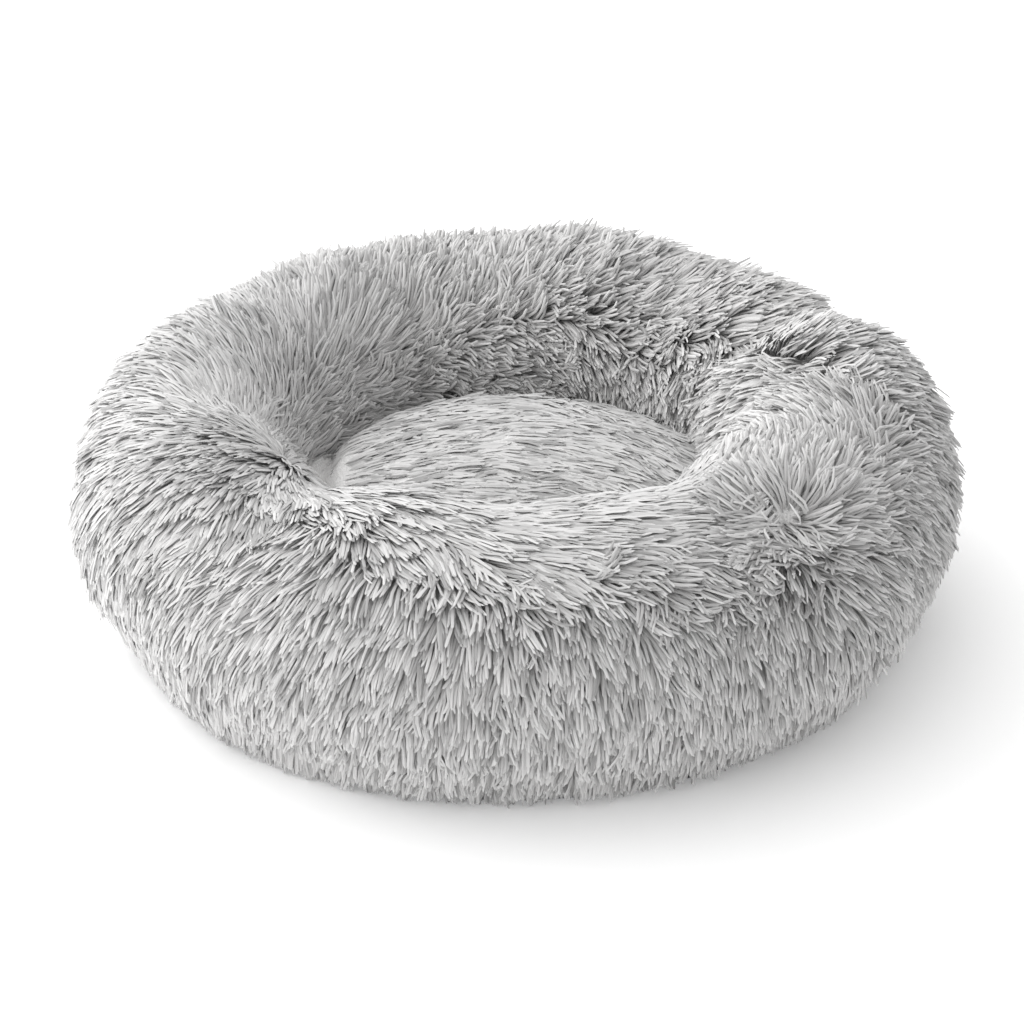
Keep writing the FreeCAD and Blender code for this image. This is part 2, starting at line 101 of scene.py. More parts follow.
def material(name, colour, roughness, **sockets):
    """A Principled material. Sockets are named with _ for a space."""
    made = bpy.data.materials.new(name)
    made.use_nodes = True
    shader = made.node_tree.nodes["Principled BSDF"]
    shader.inputs["Base Color"].default_value = (*colour, 1)
    shader.inputs["Roughness"].default_value = roughness
    for socket, value in sockets.items():
        shader.inputs[socket.replace("_", " ")].default_value = value
    return made


def node(made, kind, **settings):
    new = made.node_tree.nodes.new(kind)
    for key, value in settings.items():
        setattr(new, key, value)
    return new


def wire(made, start, end):
    made.node_tree.links.new(start, end)


def ramp(made, source, stops):
    """A colour ramp on a source, from (place, grey or colour) stops."""
    new = node(made, "ShaderNodeValToRGB")
    elements = new.color_ramp.elements
    while len(elements) < len(stops):
        elements.new(0.5)
    for element, (place, colour) in zip(elements, stops):
        element.position = place
        element.color = (*colour, 1) if isinstance(colour, tuple) else (colour,) * 3 + (1,)
    wire(made, source, new.inputs["Fac"])
    return new.outputs["Color"]


def multiply(made, first, second):
    """The product of two colours."""
    mix = node(made, "ShaderNodeMix", data_type="RGBA", blend_type="MULTIPLY")
    mix.inputs[0].default_value = 1.0
    wire(made, first, mix.inputs[6])
    wire(made, second, mix.inputs[7])
    return mix.outputs[2]


def calculate(made, operation, first, second=0.0):
    """A Math node on two values, each a number or another node's output."""
    new = node(made, "ShaderNodeMath", operation=operation)
    for index, value in enumerate((first, second)):
        if isinstance(value, (int, float)):
            new.inputs[index].default_value = value
        else:
            wire(made, value, new.inputs[index])
    return new.outputs[0]


# The studio is a soft dome, brightest above and to the left of the bed.
DOME_TOWARD = (-0.72, 0.24, 0.66)
DOME_DARKEST, DOME_BRIGHTEST = 0.20, 1.8
backdrop = world.node_tree.nodes["Background"]
backdrop.inputs["Color"].default_value = (1, 1, 1, 1)
sky = node(world, "ShaderNodeTexCoord")
toward = node(world, "ShaderNodeVectorMath", operation="DOT_PRODUCT")
toward.inputs[1].default_value = Vector(DOME_TOWARD).normalized()
fade = node(world, "ShaderNodeMapRange")
fade.inputs["From Min"].default_value = -0.3
fade.inputs["From Max"].default_value = 1.0
fade.inputs["To Min"].default_value = DOME_DARKEST
fade.inputs["To Max"].default_value = DOME_BRIGHTEST
wire(world, sky.outputs["Generated"], toward.inputs[0])
wire(world, toward.outputs["Value"], fade.inputs["Value"])
wire(world, fade.outputs["Result"], backdrop.inputs["Strength"])

# The fur's map has this many columns, each with a shade of its own.
SHADES = 64


def fur_material(name, root, body, tip):
    """Each lock takes its shade from its column of the map; its streaks run root to tip.
    Its colour darkens towards the root as painted shade and pales towards the tip as painted light.
    """
    made = material(
        name, body, 0.62, Sheen_Weight=0.3, Sheen_Roughness=0.5, Specular_IOR_Level=0.25
    )
    place = node(made, "ShaderNodeUVMap", uv_map="OFBake")
    parts = node(made, "ShaderNodeSeparateXYZ")
    wire(made, place.outputs["UV"], parts.inputs[0])
    # Painted shade and light along each lock: dark at the root, where the pile shades itself, pale
    # at the tip.
    along = ramp(
        made,
        parts.outputs["Y"],
        [(0.0, root), (0.30, tuple(0.55 * r + 0.45 * b for r, b in zip(root, body))),
         (0.62, body), (1.0, tip)],
    )
    column = calculate(made, "FLOOR", calculate(made, "MULTIPLY", parts.outputs["X"], SHADES))
    shade = node(made, "ShaderNodeTexWhiteNoise", noise_dimensions="1D")
    wire(made, column, shade.inputs["W"])
    tone = ramp(made, shade.outputs["Value"], [(0.0, 0.46), (0.3, 0.78), (0.6, 0.96), (1.0, 1.0)])
    streak = node(made, "ShaderNodeTexNoise", noise_dimensions="1D")
    streak.inputs["Scale"].default_value = 7.0 * SHADES
    streak.inputs["Detail"].default_value = 1.0
    wire(made, parts.outputs["X"], streak.inputs["W"])
    fine = ramp(made, streak.outputs["Fac"], [(0.3, 0.90), (0.7, 1.0)])
    colour = multiply(made, multiply(made, along, tone), fine)
    wire(made, colour, made.node_tree.nodes["Principled BSDF"].inputs["Base Color"])
    return made


# Root, body and tip colours: the dark roots are painted shade and the pale tips painted light.
FUR = fur_material(
    "long_pile_fur", (0.30, 0.296, 0.29), (0.66, 0.652, 0.646), (0.90, 0.893, 0.888)
)
MAT_FUR = fur_material(
    "mat_fur", (0.42, 0.415, 0.41), (0.66, 0.653, 0.648), (0.76, 0.755, 0.75)
)


def wave(points, size, count=10, seed=0):
    """A smooth wandering field between about -1 and 1, with bumps of this size."""
    source = np.random.default_rng(seed)
    total = np.zeros(len(points))
    for _ in range(count):
        heading = source.normal(size=3)
        heading *= (0.6 + 0.8 * source.random()) * math.tau / size / np.linalg.norm(heading)
        total += np.sin(points @ heading + source.random() * math.tau)
    return total / math.sqrt(count)


def lerp_round(angle, stops):
    """A value that runs smoothly round the ring through (degrees, value) stops."""
    at = np.array([s[0] for s in stops], float)
    value = np.array([s[1] for s in stops], float)
    at = np.concatenate([at[-2:] - 360, at, at[:2] + 360])
    value = np.concatenate([value[-2:], value, value[:2]])
    turn = np.degrees(angle) % 360
    right = np.clip(np.searchsorted(at, turn), 1, len(at) - 1)
    share = (turn - at[right - 1]) / (at[right] - at[right - 1])
    share = share * share * (3 - 2 * share)
    return value[right - 1] * (1 - share) + value[right] * share


def ease(value):
    value = np.clip(value, 0, 1)
    return value * value * (3 - 2 * value)


def round_place(radius, turn, height):
    """Points at this radius, turn and height about the bed's upright axis."""
    return np.stack([radius * np.cos(turn), radius * np.sin(turn), height + 0 * turn], -1)


def unit(vectors):
    return vectors / np.maximum(np.linalg.norm(vectors, axis=-1, keepdims=True), 1e-12)


def comb_round(angle, stops):
    """A direction, in degrees, that turns smoothly round the ring through its stops."""
    east = lerp_round(angle, [(at, math.cos(math.radians(comb))) for at, comb in stops])
    north = lerp_round(angle, [(at, math.sin(math.radians(comb))) for at, comb in stops])
    return np.degrees(np.arctan2(north, east))


def near(angle, middle, spread):
    """1 at an angle and falling off round it, in degrees."""
    off = (np.degrees(angle) - middle + 180) % 360 - 180
    return np.exp(-((off / spread) ** 2))


# ---- The bolster's form under its pile ----
# Turn is the angle round the bed from +X; tube is the angle round the bolster's own tube:
# 0 on the outside, 90 on the top and 180 towards the nest.

SKIN = 0.066
SKIN_RISE = 0.009
TUBE_MIDDLE = MAT_LOW + 0.009
# How far the tube is fuller or slacker than SKIN, at these turns.
SWELL = [
    (0, 0.0), (45, -0.007), (85, -0.003), (130, -0.007), (170, -0.002), (208, -0.003), (240, 0.0),
    (300, 0.0),
]
# The cover's end seam pulls a groove into the tube here.
CREASE = 118
CREASE_DEPTH = 0.006


def ring_form(turn, tube, out=0.0):
    """Points on the bolster's skin, this far out from it."""
    radius = SKIN + lerp_round(turn, SWELL) + out
    flat = np.stack([np.cos(turn) * 0.3, np.sin(turn) * 0.3, 0.08 * np.sin(tube)], -1)
    radius = radius + 0.0035 * wave(flat, 0.16, seed=3) * (np.sin(tube) > -0.6)
    groove = near(turn, CREASE, 6) * np.clip(np.sin(tube / 2 + 0.2), 0, 1) ** 2
    radius = radius - CREASE_DEPTH * groove
    height = TUBE_MIDDLE + (radius + SKIN_RISE) * np.sin(tube)
    return round_place(RING + radius * np.cos(tube), turn, height)


def ring_basis(turn, tube):
    """The outward normal, the way down the outside, and the way round the bed."""
    step = 1e-3
    here = ring_form(turn, tube)
    down = unit(ring_form(turn, tube - step) - here)
    along = unit(ring_form(turn + step, tube) - here)
    normal = unit(np.cross(down, along))
    middle = round_place(RING, turn, TUBE_MIDDLE)
    normal *= np.sign(np.sum(normal * (here - middle), -1))[:, None]
    return normal, down, along


# ---- Locks of pile ----

# A lock has this many three-sided rings and a point. Steps are the rings' shares of its length.
RINGS = 5
STEPS = np.array([0.0, 0.22, 0.48, 0.74, 0.955, 1.0])
WIDTHS = np.array([0.75, 0.97, 1.0, 0.97, 0.78])
# Each lock's end is drawn towards the nearest of every so many locks.
CLUMP = 9
# The lowest that a lock may lie, over the base cloth and outside it.
OVER_CLOTH, OVER_FLOOR = 0.0045, 0.0008


def grow(root, normal, flow, length, lift, curl):
    """Each lock's middle line: it stands up from its root and bends over along its flow.
    Lift is (at the root, at the tip), in radians above the surface."""
    points = [root]
    side = np.cross(normal, flow)
    for start, end in zip(STEPS, STEPS[1:]):
        share = (start + end) / 2
        rise = lift[0] + (lift[1] - lift[0]) * share**0.8
        turned = curl * share
        heading = flow * np.cos(turned)[:, None] + side * np.sin(turned)[:, None]
        heading = normal * np.sin(rise)[:, None] + heading * np.cos(rise)[:, None]
        points.append(points[-1] + heading * (length * (end - start))[:, None])
    return np.stack(points, 1)


def clump(lines, amount, closeness=0.75):
    """Draw each lock's end towards that of the nearest leading lock."""
    leaders = np.arange(0, len(lines), CLUMP)
    tree = kdtree.KDTree(len(leaders))
    for index, leader in enumerate(leaders):
        tree.insert(lines[leader, 0], index)
    tree.balance()
    lead = np.array([leaders[tree.find(p)[1]] for p in lines[:, 0]])
    offset = (lines[:, 0] - lines[lead, 0])[:, None, :]
    share = STEPS[None, :, None]
    target = lines[lead] + offset * (1 - closeness * share)
    pull = amount[:, None, None] * share**1.5
    return lines * (1 - pull) + target * pull


def lock_mesh(name, lines, width, normal, shade, calm, root_shade_skip, slot, finish):
    """One mesh of three-sided tapering locks along these middle lines. The calmer a lock lies,
    the flatter it is, and the more it is lit as one surface with the rest. The more of its root
    shade it skips, the less of its darker root, painted shade, shows."""
    count = len(lines)
    heading = unit(np.gradient(lines, axis=1))
    side = unit(np.cross(heading, normal[:, None, :]))
    face = np.cross(side, heading)
    spin = (rng.random(count) * 0.9 - 0.45)[:, None] * (1 - 0.8 * calm)[:, None]
    thick = (0.30 - 0.05 * calm)[:, None, None]
    verts = np.empty((count, RINGS * 3 + 1, 3))
    for corner in range(3):
        angle = spin + math.pi / 2 + corner * math.tau / 3
        across = np.cos(angle)[..., None] * side[:, :RINGS] * 0.5
        across = across + np.sin(angle)[..., None] * face[:, :RINGS] * thick
        ring = lines[:, :RINGS] + across * (width[:, None] * WIDTHS[None, :])[..., None]
        verts[:, corner : RINGS * 3 : 3] = ring
    verts[:, -1] = lines[:, -1]
    over_base = np.hypot(verts[..., 0], verts[..., 1]) < BASE_RADIUS
    verts[..., 2] = np.maximum(verts[..., 2], np.where(over_base, OVER_CLOTH, OVER_FLOOR))
    faces, map_u, map_v = [], [], []
    for level in range(RINGS - 1):
        for corner in range(3):
            after = (corner + 1) % 3
            low, high = 3 * level, 3 * level + 3
            faces.append([low + corner, high + corner, high + after, low + after])
            map_u.append([0.08, 0.08, 0.92, 0.92])
            v0, v1 = STEPS[level], STEPS[level + 1]
            map_v.append([v0, v1, v1, v0])
    tip = 3 * RINGS
    tips, tip_u, tip_v = [], [], []
    for corner in range(3):
        after = (corner + 1) % 3
        tips.append([3 * (RINGS - 1) + corner, tip, 3 * (RINGS - 1) + after])
        tip_u.append([0.08, 0.5, 0.92])
        tip_v.append([STEPS[-2], 1.0, STEPS[-2]])
    one = np.concatenate([np.ravel(faces), np.ravel(tips)])
    one_u = np.concatenate([np.ravel(map_u), np.ravel(tip_u)])
    one_v = np.concatenate([np.ravel(map_v), np.ravel(tip_v)]) * 0.99 + 0.005
    sizes = np.array([4] * len(faces) + [3] * len(tips))
    loops = (one[None, :] + (np.arange(count) * (3 * RINGS + 1))[:, None]).ravel()
    starts = np.concatenate([[0], np.cumsum(np.tile(sizes, count))[:-1]])
    column = np.floor(shade * SHADES).clip(0, SHADES - 1)
    u = ((column[:, None] + one_u[None, :]) / SHADES).ravel()
    # Painted light: a lock's colour starts this share of the way up, past its painted root shade.
    skipped = 0.8 * root_shade_skip[:, None]
    v = (skipped + (1 - skipped) * one_v[None, :]).ravel()
    mesh = bpy.data.meshes.new(name)
    mesh.vertices.add(count * (3 * RINGS + 1))
    mesh.vertices.foreach_set("co", verts.astype(np.float32).ravel())
    mesh.loops.add(len(loops))
    mesh.loops.foreach_set("vertex_index", loops.astype(np.int32))
    mesh.polygons.add(len(starts))
    mesh.polygons.foreach_set("loop_start", starts.astype(np.int32))
    mesh.update(calc_edges=True)
    mesh.shade_smooth()
    # Soft light spreads through real pile, so a lock is lit partly as the surface it lies on.
    outward = np.empty_like(verts)
    outward[:, :-1] = verts[:, :-1] - np.repeat(lines[:, :RINGS], 3, axis=1)
    outward[:, -1] = heading[:, -1]
    soft = unit(unit(outward) + (0.45 + 2.8 * calm)[:, None, None] * normal[:, None, :])
    free = mesh.attributes.new("custom_normal", "FLOAT_VECTOR", "POINT")
    free.data.foreach_set("vector", soft.astype(np.float32).ravel())
    layer = mesh.uv_layers.new(name="OFBake")
    layer.data.foreach_set("uv", np.stack([u, v], -1).astype(np.float32).ravel())
    mesh.materials.append(finish)
    piece = link(bpy.data.objects.new(name, mesh))
    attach(piece, "bed")
    return piece


# How the bolster's pile is combed. The parting is the tube angle where the pile that runs
# down the outside meets the pile of the nest's side; combs are in degrees, 0 for straight
# down the outside and 90 for along the ring, turning with it.
PARTING = [
    (0, 100), (24, 122), (54, 143), (80, 135), (100, 150), (118, 160), (140, 165),
    (180, 150), (200, 125), (213, 105), (230, 88), (250, 70), (270, 57), (292, 50),
    (313, 49), (336, 52), (350, 72),
]
OUTER_COMB = [
    (0, -6), (20, -30), (45, -45), (64, -40), (92, -33), (112, -26), (124, -42), (140, -40),
    (160, -28), (180, -8), (200, 0), (215, -4), (228, -16), (245, -22), (258, -12),
    (270, -4), (292, 0), (313, 4), (336, 12),
]
INNER_COMB = [
    (0, 180), (31, 180), (64, 210), (92, 262), (118, 275), (150, 275), (180, 280),
    (200, 300), (226, 80), (250, 92), (292, 90), (313, 100), (336, 150),
]
CALM = [
    (0, 0.5), (24, 0.45), (54, 0.45), (80, 0.4), (110, 0.45), (124, 0.75), (140, 0.95),
    (180, 1.0), (228, 1.0), (250, 0.85), (270, 0.65), (292, 0.55), (313, 0.5), (336, 0.4),
]
INNER_CALM = [
    (0, 0.5), (24, 0.35), (54, 0.2), (80, 0.0), (118, 0.1), (150, 0.4), (180, 0.7),
    (205, 1.0), (292, 1.0), (313, 0.75), (336, 0.55),
]
# Places that the pile fans out from or runs in to: turn, tube, reach and 1 or -1. In the
# middle of a fan the pile leans one way, down the outside, over the last distance.
FANS = [
    (213, 105, 0.120, 1, 0.030), (313, 49, 0.045, 1, 0.018), (23, 178, 0.060, -1, 0.018),
]
# The first fan is the broad one on the left, and this many more locks fill its gaps.
BROAD, THICKER = 0, 3000
# How many degrees of the tube the two combs take to turn into each other.
BLEND = [(0, 6), (100, 7), (140, 11), (200, 17), (250, 17), (270, 12), (292, 9), (336, 6)]


# The pile runs between these tube angles, and its roots lie this far under the skin.
LOWEST_PILE, LAST_PILE = -72, 205
ROOTED = 0.002
# A lock's length and width, and how far it leans up from the skin at its root and its tip.
LOCK_LENGTH, LOCK_WIDTH = 0.030, 0.0023
ROOT_LIFT, TIP_LIFT = 52, 10


def laid(turn, tube, place):
    """How the pile lies here: the parting's tube angle, how far past it this is, from 0 on the
    outside to 1 towards the nest, and how calm the pile is."""
    parting = lerp_round(turn, PARTING) + 5 * wave(place, 0.09, seed=11)
    past = 1 / (1 + np.exp(-(np.degrees(tube) - parting) / lerp_round(turn, BLEND)))
    calm = lerp_round(turn, CALM) * (1 - past) + lerp_round(turn, INNER_CALM) * past
    return parting, past, calm


def sow(spacing, low, high):
    """Even, jittered places on the bolster: turn and tube angles."""
    turns, tubes = [], []
    rows = int(math.radians(high - low) * (SKIN + 0.004) / spacing)
    for row in range(rows):
        tube = math.radians(low + (row + 0.5) * (high - low) / rows)
        number = int(math.tau * (RING + SKIN * math.cos(tube)) / spacing)
        places = (np.arange(number) + rng.random()) / number * math.tau
        turns.append(places + rng.normal(0, 0.34, number) * math.tau / number)
        tubes.append(tube + rng.normal(0, 0.34, number) * spacing / SKIN)
    turns, tubes = np.concatenate(turns), np.concatenate(tubes)
    mixed = rng.permutation(len(turns))
    return turns[mixed], tubes[mixed]


def bolster_locks(spacing):
    """The bolster's locks: turn, middle lines, widths, normals, shade, calm and root shade skip."""
    turn, tube = sow(spacing, LOWEST_PILE, LAST_PILE)
    more = np.radians(rng.normal(0, 1, (THICKER, 2)) * (11, 17) + FANS[BROAD][:2])
    turn, tube = np.append(turn, more[:, 0]), np.append(tube, more[:, 1])
    root = ring_form(turn, tube, -ROOTED)
    normal, down, along = ring_basis(turn, tube)
    count = len(turn)
    degrees = np.degrees(tube)
    parting, past, calm = laid(turn, tube, root)
    outer, inner = comb_round(turn, OUTER_COMB), comb_round(turn, INNER_COMB)
    outer = outer - 44 * near(turn, 236, 22) * np.clip((degrees - 5) / 60, 0, 1)
    ridge = np.exp(-(((degrees - parting) / 9.0) ** 2))
    inside = np.clip((degrees - 150) / 30, 0, 1)
    mess = (1 - 0.85 * calm) * (0.2 + 0.5 * ridge + 0.3 * inside)
    mess = mess + 0.22 * ridge * near(turn, 290, 45)

    def combed(comb):
        comb = np.radians(comb)
        return down * np.cos(comb)[:, None] + along * np.sin(comb)[:, None]

    flow = unit(combed(outer) * (1 - past)[:, None] + combed(inner) * past[:, None])
    swirl = np.zeros(count)
    for index, (fan_turn, fan_tube, reach, sense, cowlick) in enumerate(FANS):
        centre = ring_form(np.radians([fan_turn]), np.radians([fan_tube]))
        away = root - centre
        distance = np.linalg.norm(away, axis=1)
        away = sense * unit(away - normal * np.sum(away * normal, 1)[:, None])
        weight = np.exp(-((distance / reach) ** 4))[:, None]
        if index == BROAD:
            # It spares the bolster's side and front.
            weight = weight * np.clip((degrees - 40) / 35, 0, 1)[:, None]
            weight = weight * np.clip((242 - np.degrees(turn)) / 16, 0, 1)[:, None]
        flow = unit(flow * (1 - weight) + away * weight)
        if sense > 0:
            middle = np.exp(-((distance / cowlick) ** 2))[:, None]
            flow = unit(flow * (1 - middle) + down * middle)
            if index != BROAD:
                swirl = swirl + np.exp(-((distance / 0.02) ** 2))
    mess = mess + 0.4 * swirl
    stray = (8 - 4 * calm) * wave(root, 0.09, seed=5) + (5 - 2 * calm) * wave(root, 0.03, seed=6)
    stray = np.radians(stray + rng.normal(0, 1, count) * (5 + 28 * mess))
    flow = flow * np.cos(stray)[:, None] + np.cross(normal, flow) * np.sin(stray)[:, None]
    # Gravity draws the pile on steep walls down, and the lowest pile hangs to the floor.
    fall = np.array([0, 0, -1.0]) + normal * normal[:, 2:3]
    flow = unit(flow + 0.15 * fall)
    low = np.clip((-18 - degrees) / 35, 0, 1)[:, None]
    hang = np.stack([0.08 * np.cos(turn), 0.08 * np.sin(turn), np.full(count, -1.0)], -1)
    flow = unit(flow * (1 - low) + unit(hang) * low)
    length = (LOCK_LENGTH + 0.005 * calm) * (1 + 0.12 * rng.normal(0, 1, count)).clip(0.65, 1.3)
    length *= 1 - 0.2 * inside
    length *= 1 - 0.3 * low[:, 0]
    unruly = 1 - 0.6 * calm
    lift_root = np.radians(ROOT_LIFT + 20 * mess - 20 * calm + rng.normal(0, 8, count) * unruly)
    lift_tip = np.radians(TIP_LIFT + 45 * mess - 22 * calm + rng.normal(0, 9, count) * unruly)
    lift_root, lift_tip = lift_root * (1 - 0.5 * low[:, 0]), lift_tip * (1 - low[:, 0])
    curl = rng.normal(0, 1, count) * (0.15 + 1.1 * mess)
    lines = grow(root, normal, flow, length, (lift_root, lift_tip), curl)
    lines = clump(lines, 0.35 + 0.45 * rng.random(count))
    lines = lines + normal[:, None, :] * (0.004 * calm)[:, None, None]
    width = (LOCK_WIDTH - 0.0003 * calm) * (0.75 + 0.5 * rng.random(count))
    # Painted light and shade: calm locks skip most of their painted root shade, but less on the
    # outside at the front.
    root_shade_skip = calm * (1 - 0.75 * (1 - past) * near(turn, 285, 55))
    # Painted light and shade, as meant: calm locks get higher shade values and locks low on the
    # outside at the front lower ones. Each column's tone is random, so this changes which tone a
    # lock gets, not how dark it is on average. The wave and the random spread are the pile's own
    # tone.
    shade = 0.60 + 0.20 * calm + 0.10 * wave(lines[:, 0], 0.05, seed=21)
    shade = shade + (0.20 - 0.12 * calm) * rng.normal(size=count)
    shade = shade - 0.60 * ease((28 - degrees) / 55) * near(turn, 300, 65)
    return turn, lines, width, normal, shade.clip(0, 0.999), calm, root_shade_skip


def add_bolster_fur(spacing, sectors):
    """The bolster's locks, one piece to a sector."""
    turn, *locks = bolster_locks(spacing)
    sector = ((turn % math.tau) / math.tau * sectors).astype(int) % sectors
    for index in range(sectors):
        chosen = sector == index
        here = [values[chosen] for values in locks]
        piece = lock_mesh(f"bolster_fur_{index + 1}", *here, "long_pile_fur", FUR)
        if index == 0:
            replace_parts(piece, "bolster_fur_cover")


MAT_LOCK_WIDTH = 0.0022
# The mat's pile is all about this calm.
MAT_CALM = 0.7


def add_mat_fur(spacing):
    """The mat's locks, combed one way over its crown, in two halves."""
    places = []
    rows = int(2 * MAT_RADIUS / spacing)
    for row in range(rows):
        y = -MAT_RADIUS + (row + 0.5) * spacing
        xs = -MAT_RADIUS + (np.arange(rows) + 0.5 * (row % 2) + 0.25) * spacing
        places.append(np.stack([xs, np.full(rows, y)], -1))
    flat = np.concatenate(places) + rng.normal(0, 0.3 * spacing, (rows * rows, 2))
    flat = flat[np.hypot(flat[:, 0], flat[:, 1]) < MAT_RADIUS + 0.012]
    flat = flat[rng.permutation(len(flat))]
    x, y = flat.T
    count = len(x)
    rise = MAT_CROWN * (1 - np.hypot(x, y) ** 2 / MAT_RADIUS**2)
    root = np.stack([x, y, MAT_LOW + 0.010 + rise], -1)
    slope = 2 * MAT_CROWN / MAT_RADIUS**2
    normal = unit(np.stack([slope * x, slope * y, np.ones(count)], -1))
    angle = -12 + 14 * wave(root, 0.11, seed=31) + 8 * wave(root, 0.04, seed=32)
    angle = angle - 22 * np.clip(x / MAT_RADIUS, 0, 1)
    angle = np.radians(angle + rng.normal(0, 6, count))
    flow = np.stack([np.cos(angle), np.sin(angle), np.zeros(count)], -1)
    flow = unit(flow - normal * np.sum(flow * normal, 1)[:, None])
    length = LOCK_LENGTH * (1 + 0.12 * rng.normal(0, 1, count)).clip(0.6, 1.3)
    lift = np.radians(30 + rng.normal(0, 4, count)), np.radians(-10 + rng.normal(0, 4, count))
    curl = rng.normal(0, 0.25, count)
    lines = clump(grow(root, normal, flow, length, lift, curl), 0.3 + 0.4 * rng.random(count))
    width = MAT_LOCK_WIDTH * (0.75 + 0.5 * rng.random(count))
    shade = (0.5 + 0.2 * wave(root, 0.05, seed=23) + 0.25 * rng.normal(size=count)).clip(0, 0.999)
    calm = np.full(count, MAT_CALM)
    for index, half in enumerate([x < 0, x >= 0]):
        # On the mat, calm also stands for how much painted root shade each lock skips.
        here = [values[half] for values in (lines, width, normal, shade, calm, calm)]
        piece = lock_mesh(f"mat_fur_{index + 1}", *here, "mat_fur", MAT_FUR)
        if index == 0:
            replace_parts(piece, "mat_fur_cover")


BOLSTER_SPACING, SECTORS = 0.0021, 20
MAT_SPACING = 0.0022
add_bolster_fur(BOLSTER_SPACING, SECTORS)
add_mat_fur(MAT_SPACING)


# ---- Meshes ----

def grid_faces(rows, columns, closed_rows, closed_columns):
    faces = []
    for row in range(rows if closed_rows else rows - 1):
        for column in range(columns if closed_columns else columns - 1):
            next_row, next_column = (row + 1) % rows, (column + 1) % columns
            faces.append(
                (row * columns + column, row * columns + next_column,
                 next_row * columns + next_column, next_row * columns + column)
            )
    return faces


def grid_mesh(name, points, closed_rows, closed_columns, finish):
    """A smooth piece over a rows x columns grid of points."""
    faces = grid_faces(*points.shape[:2], closed_rows, closed_columns)
    return plain_mesh(name, points.reshape(-1, 3), faces, finish)


def plain_mesh(name, points, faces, finish):
    """A smooth piece on the bed's body, with its faces turned outwards."""
    mesh = bpy.data.meshes.new(name)
    mesh.from_pydata(np.asarray(points).tolist(), [], faces)
    tidy = bmesh.new()
    tidy.from_mesh(mesh)
    bmesh.ops.remove_doubles(tidy, verts=tidy.verts, dist=1e-6)
    bmesh.ops.recalc_face_normals(tidy, faces=tidy.faces)
    tidy.to_mesh(mesh)
    tidy.free()
    mesh.shade_smooth()
    mesh.materials.append(finish)
    piece = link(bpy.data.objects.new(name, mesh))
    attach(piece, "bed")
    return piece


# ---- Other finishes ----

def scaled(made, x=1, y=1, z=1):
    """The object's own coordinates, times these scales."""
    source = node(made, "ShaderNodeTexCoord")
    scale = node(made, "ShaderNodeVectorMath", operation="MULTIPLY")
    scale.inputs[1].default_value = (x, y, z)
    wire(made, source.outputs["Object"], scale.inputs[0])
    return scale.outputs[0]


def noise(made, place, scale, detail=3.0):
    new = node(made, "ShaderNodeTexNoise")
    new.inputs["Scale"].default_value = scale
    new.inputs["Detail"].default_value = detail
    wire(made, place, new.inputs["Vector"])
    return new.outputs["Fac"]


def bands(made, place, scale, direction, distortion=0.0):
    new = node(made, "ShaderNodeTexWave", wave_type="BANDS", bands_direction=direction)
    new.inputs["Scale"].default_value = scale
    new.inputs["Distortion"].default_value = distortion
    wire(made, place, new.inputs["Vector"])
    return new.outputs["Fac"]


def finish_with(made, colour, height, strength, distance):
    """Give a material this linked colour, and this height as its bump."""
    shader = made.node_tree.nodes["Principled BSDF"]
    wire(made, colour, shader.inputs["Base Color"])
    bump = node(made, "ShaderNodeBump")
    bump.inputs["Strength"].default_value = strength
    bump.inputs["Distance"].default_value = distance
    wire(made, height, bump.inputs["Height"])
    wire(made, bump.outputs["Normal"], shader.inputs["Normal"])
    return made


def shades(colour, *stops):
    """Ramp stops that are one colour times each stop's factor."""
    return [(place, tuple(factor * c for c in colour)) for place, factor in stops]


def woven(name, colour, pitch, roughness, slub=0.06, **sockets):
    """Plain weave: two sets of yarns of this pitch, with slubs and faint wear."""
    made = material(name, colour, roughness, **sockets)
    place = scaled(made)
    wave_scale = math.tau / pitch / 20
    warp = bands(made, place, wave_scale, "X", 0.4)
    weft = bands(made, place, wave_scale, "Y", 0.4)
    cross = calculate(made, "MULTIPLY", warp, weft)
    slubs = calculate(made, "MULTIPLY", noise(made, place, 900), slub * 4)
    height = calculate(made, "ADD", cross, slubs)
    # Painted shade and light: the yarns darken where the weave dips between them and lighten where
    # it stands highest.
    yarns = ramp(made, cross, shades(colour, (0.0, 0.80), (0.6, 1.0), (1.0, 1.08)))
    wear = ramp(made, noise(made, place, 22), [(0.3, 1.0 - 2 * slub), (0.7, 1.0)])
    return finish_with(made, multiply(made, yarns, wear), height, 0.5, 0.0003)


BASE_CLOTH = woven("base_cloth", (0.33, 0.34, 0.36), 0.0012, 0.85, 0.07, Sheen_Weight=0.15)
TAPE_CLOTH = woven("zip_tape", (0.30, 0.31, 0.33), 0.0007, 0.8, 0.04, Sheen_Weight=0.1)


def undercoat():
    """The pile's short, dense undercoat, matted over its backing."""
    colour = (0.80, 0.792, 0.786)
    made = material("fur_backing", colour, 0.9)
    place = scaled(made)
    fibres = noise(made, place, 520, 4)
    tufts = noise(made, place, 130)
    height = calculate(made, "ADD", fibres, tufts)
    matted = ramp(made, fibres, shades(colour, (0.3, 0.86), (0.6, 1.0)))
    return finish_with(made, matted, height, 0.6, 0.002)


BACKING = undercoat()


def bag_cloth():
    """Spunbonded inner bag: a grid of small pressed points in matted fibres."""
    colour = (0.90, 0.90, 0.88)
    made = material("inner_bag", colour, 0.75, Sheen_Weight=0.1)
    place = scaled(made)
    points = node(made, "ShaderNodeTexVoronoi")
    points.inputs["Scale"].default_value = 480
    points.inputs["Randomness"].default_value = 0.25
    wire(made, place, points.inputs["Vector"])
    fibres = noise(made, place, 1400, 4)
    rough = calculate(made, "MULTIPLY", fibres, 0.5)
    height = calculate(made, "ADD", points.outputs["Distance"], rough)
    pressed = ramp(made, points.outputs["Distance"], shades(colour, (0.0, 0.93), (0.35, 1.0)))
    matted = ramp(made, fibres, [(0.3, 0.94), (0.7, 1.0)])
    return finish_with(made, multiply(made, pressed, matted), height, 0.35, 0.0004)


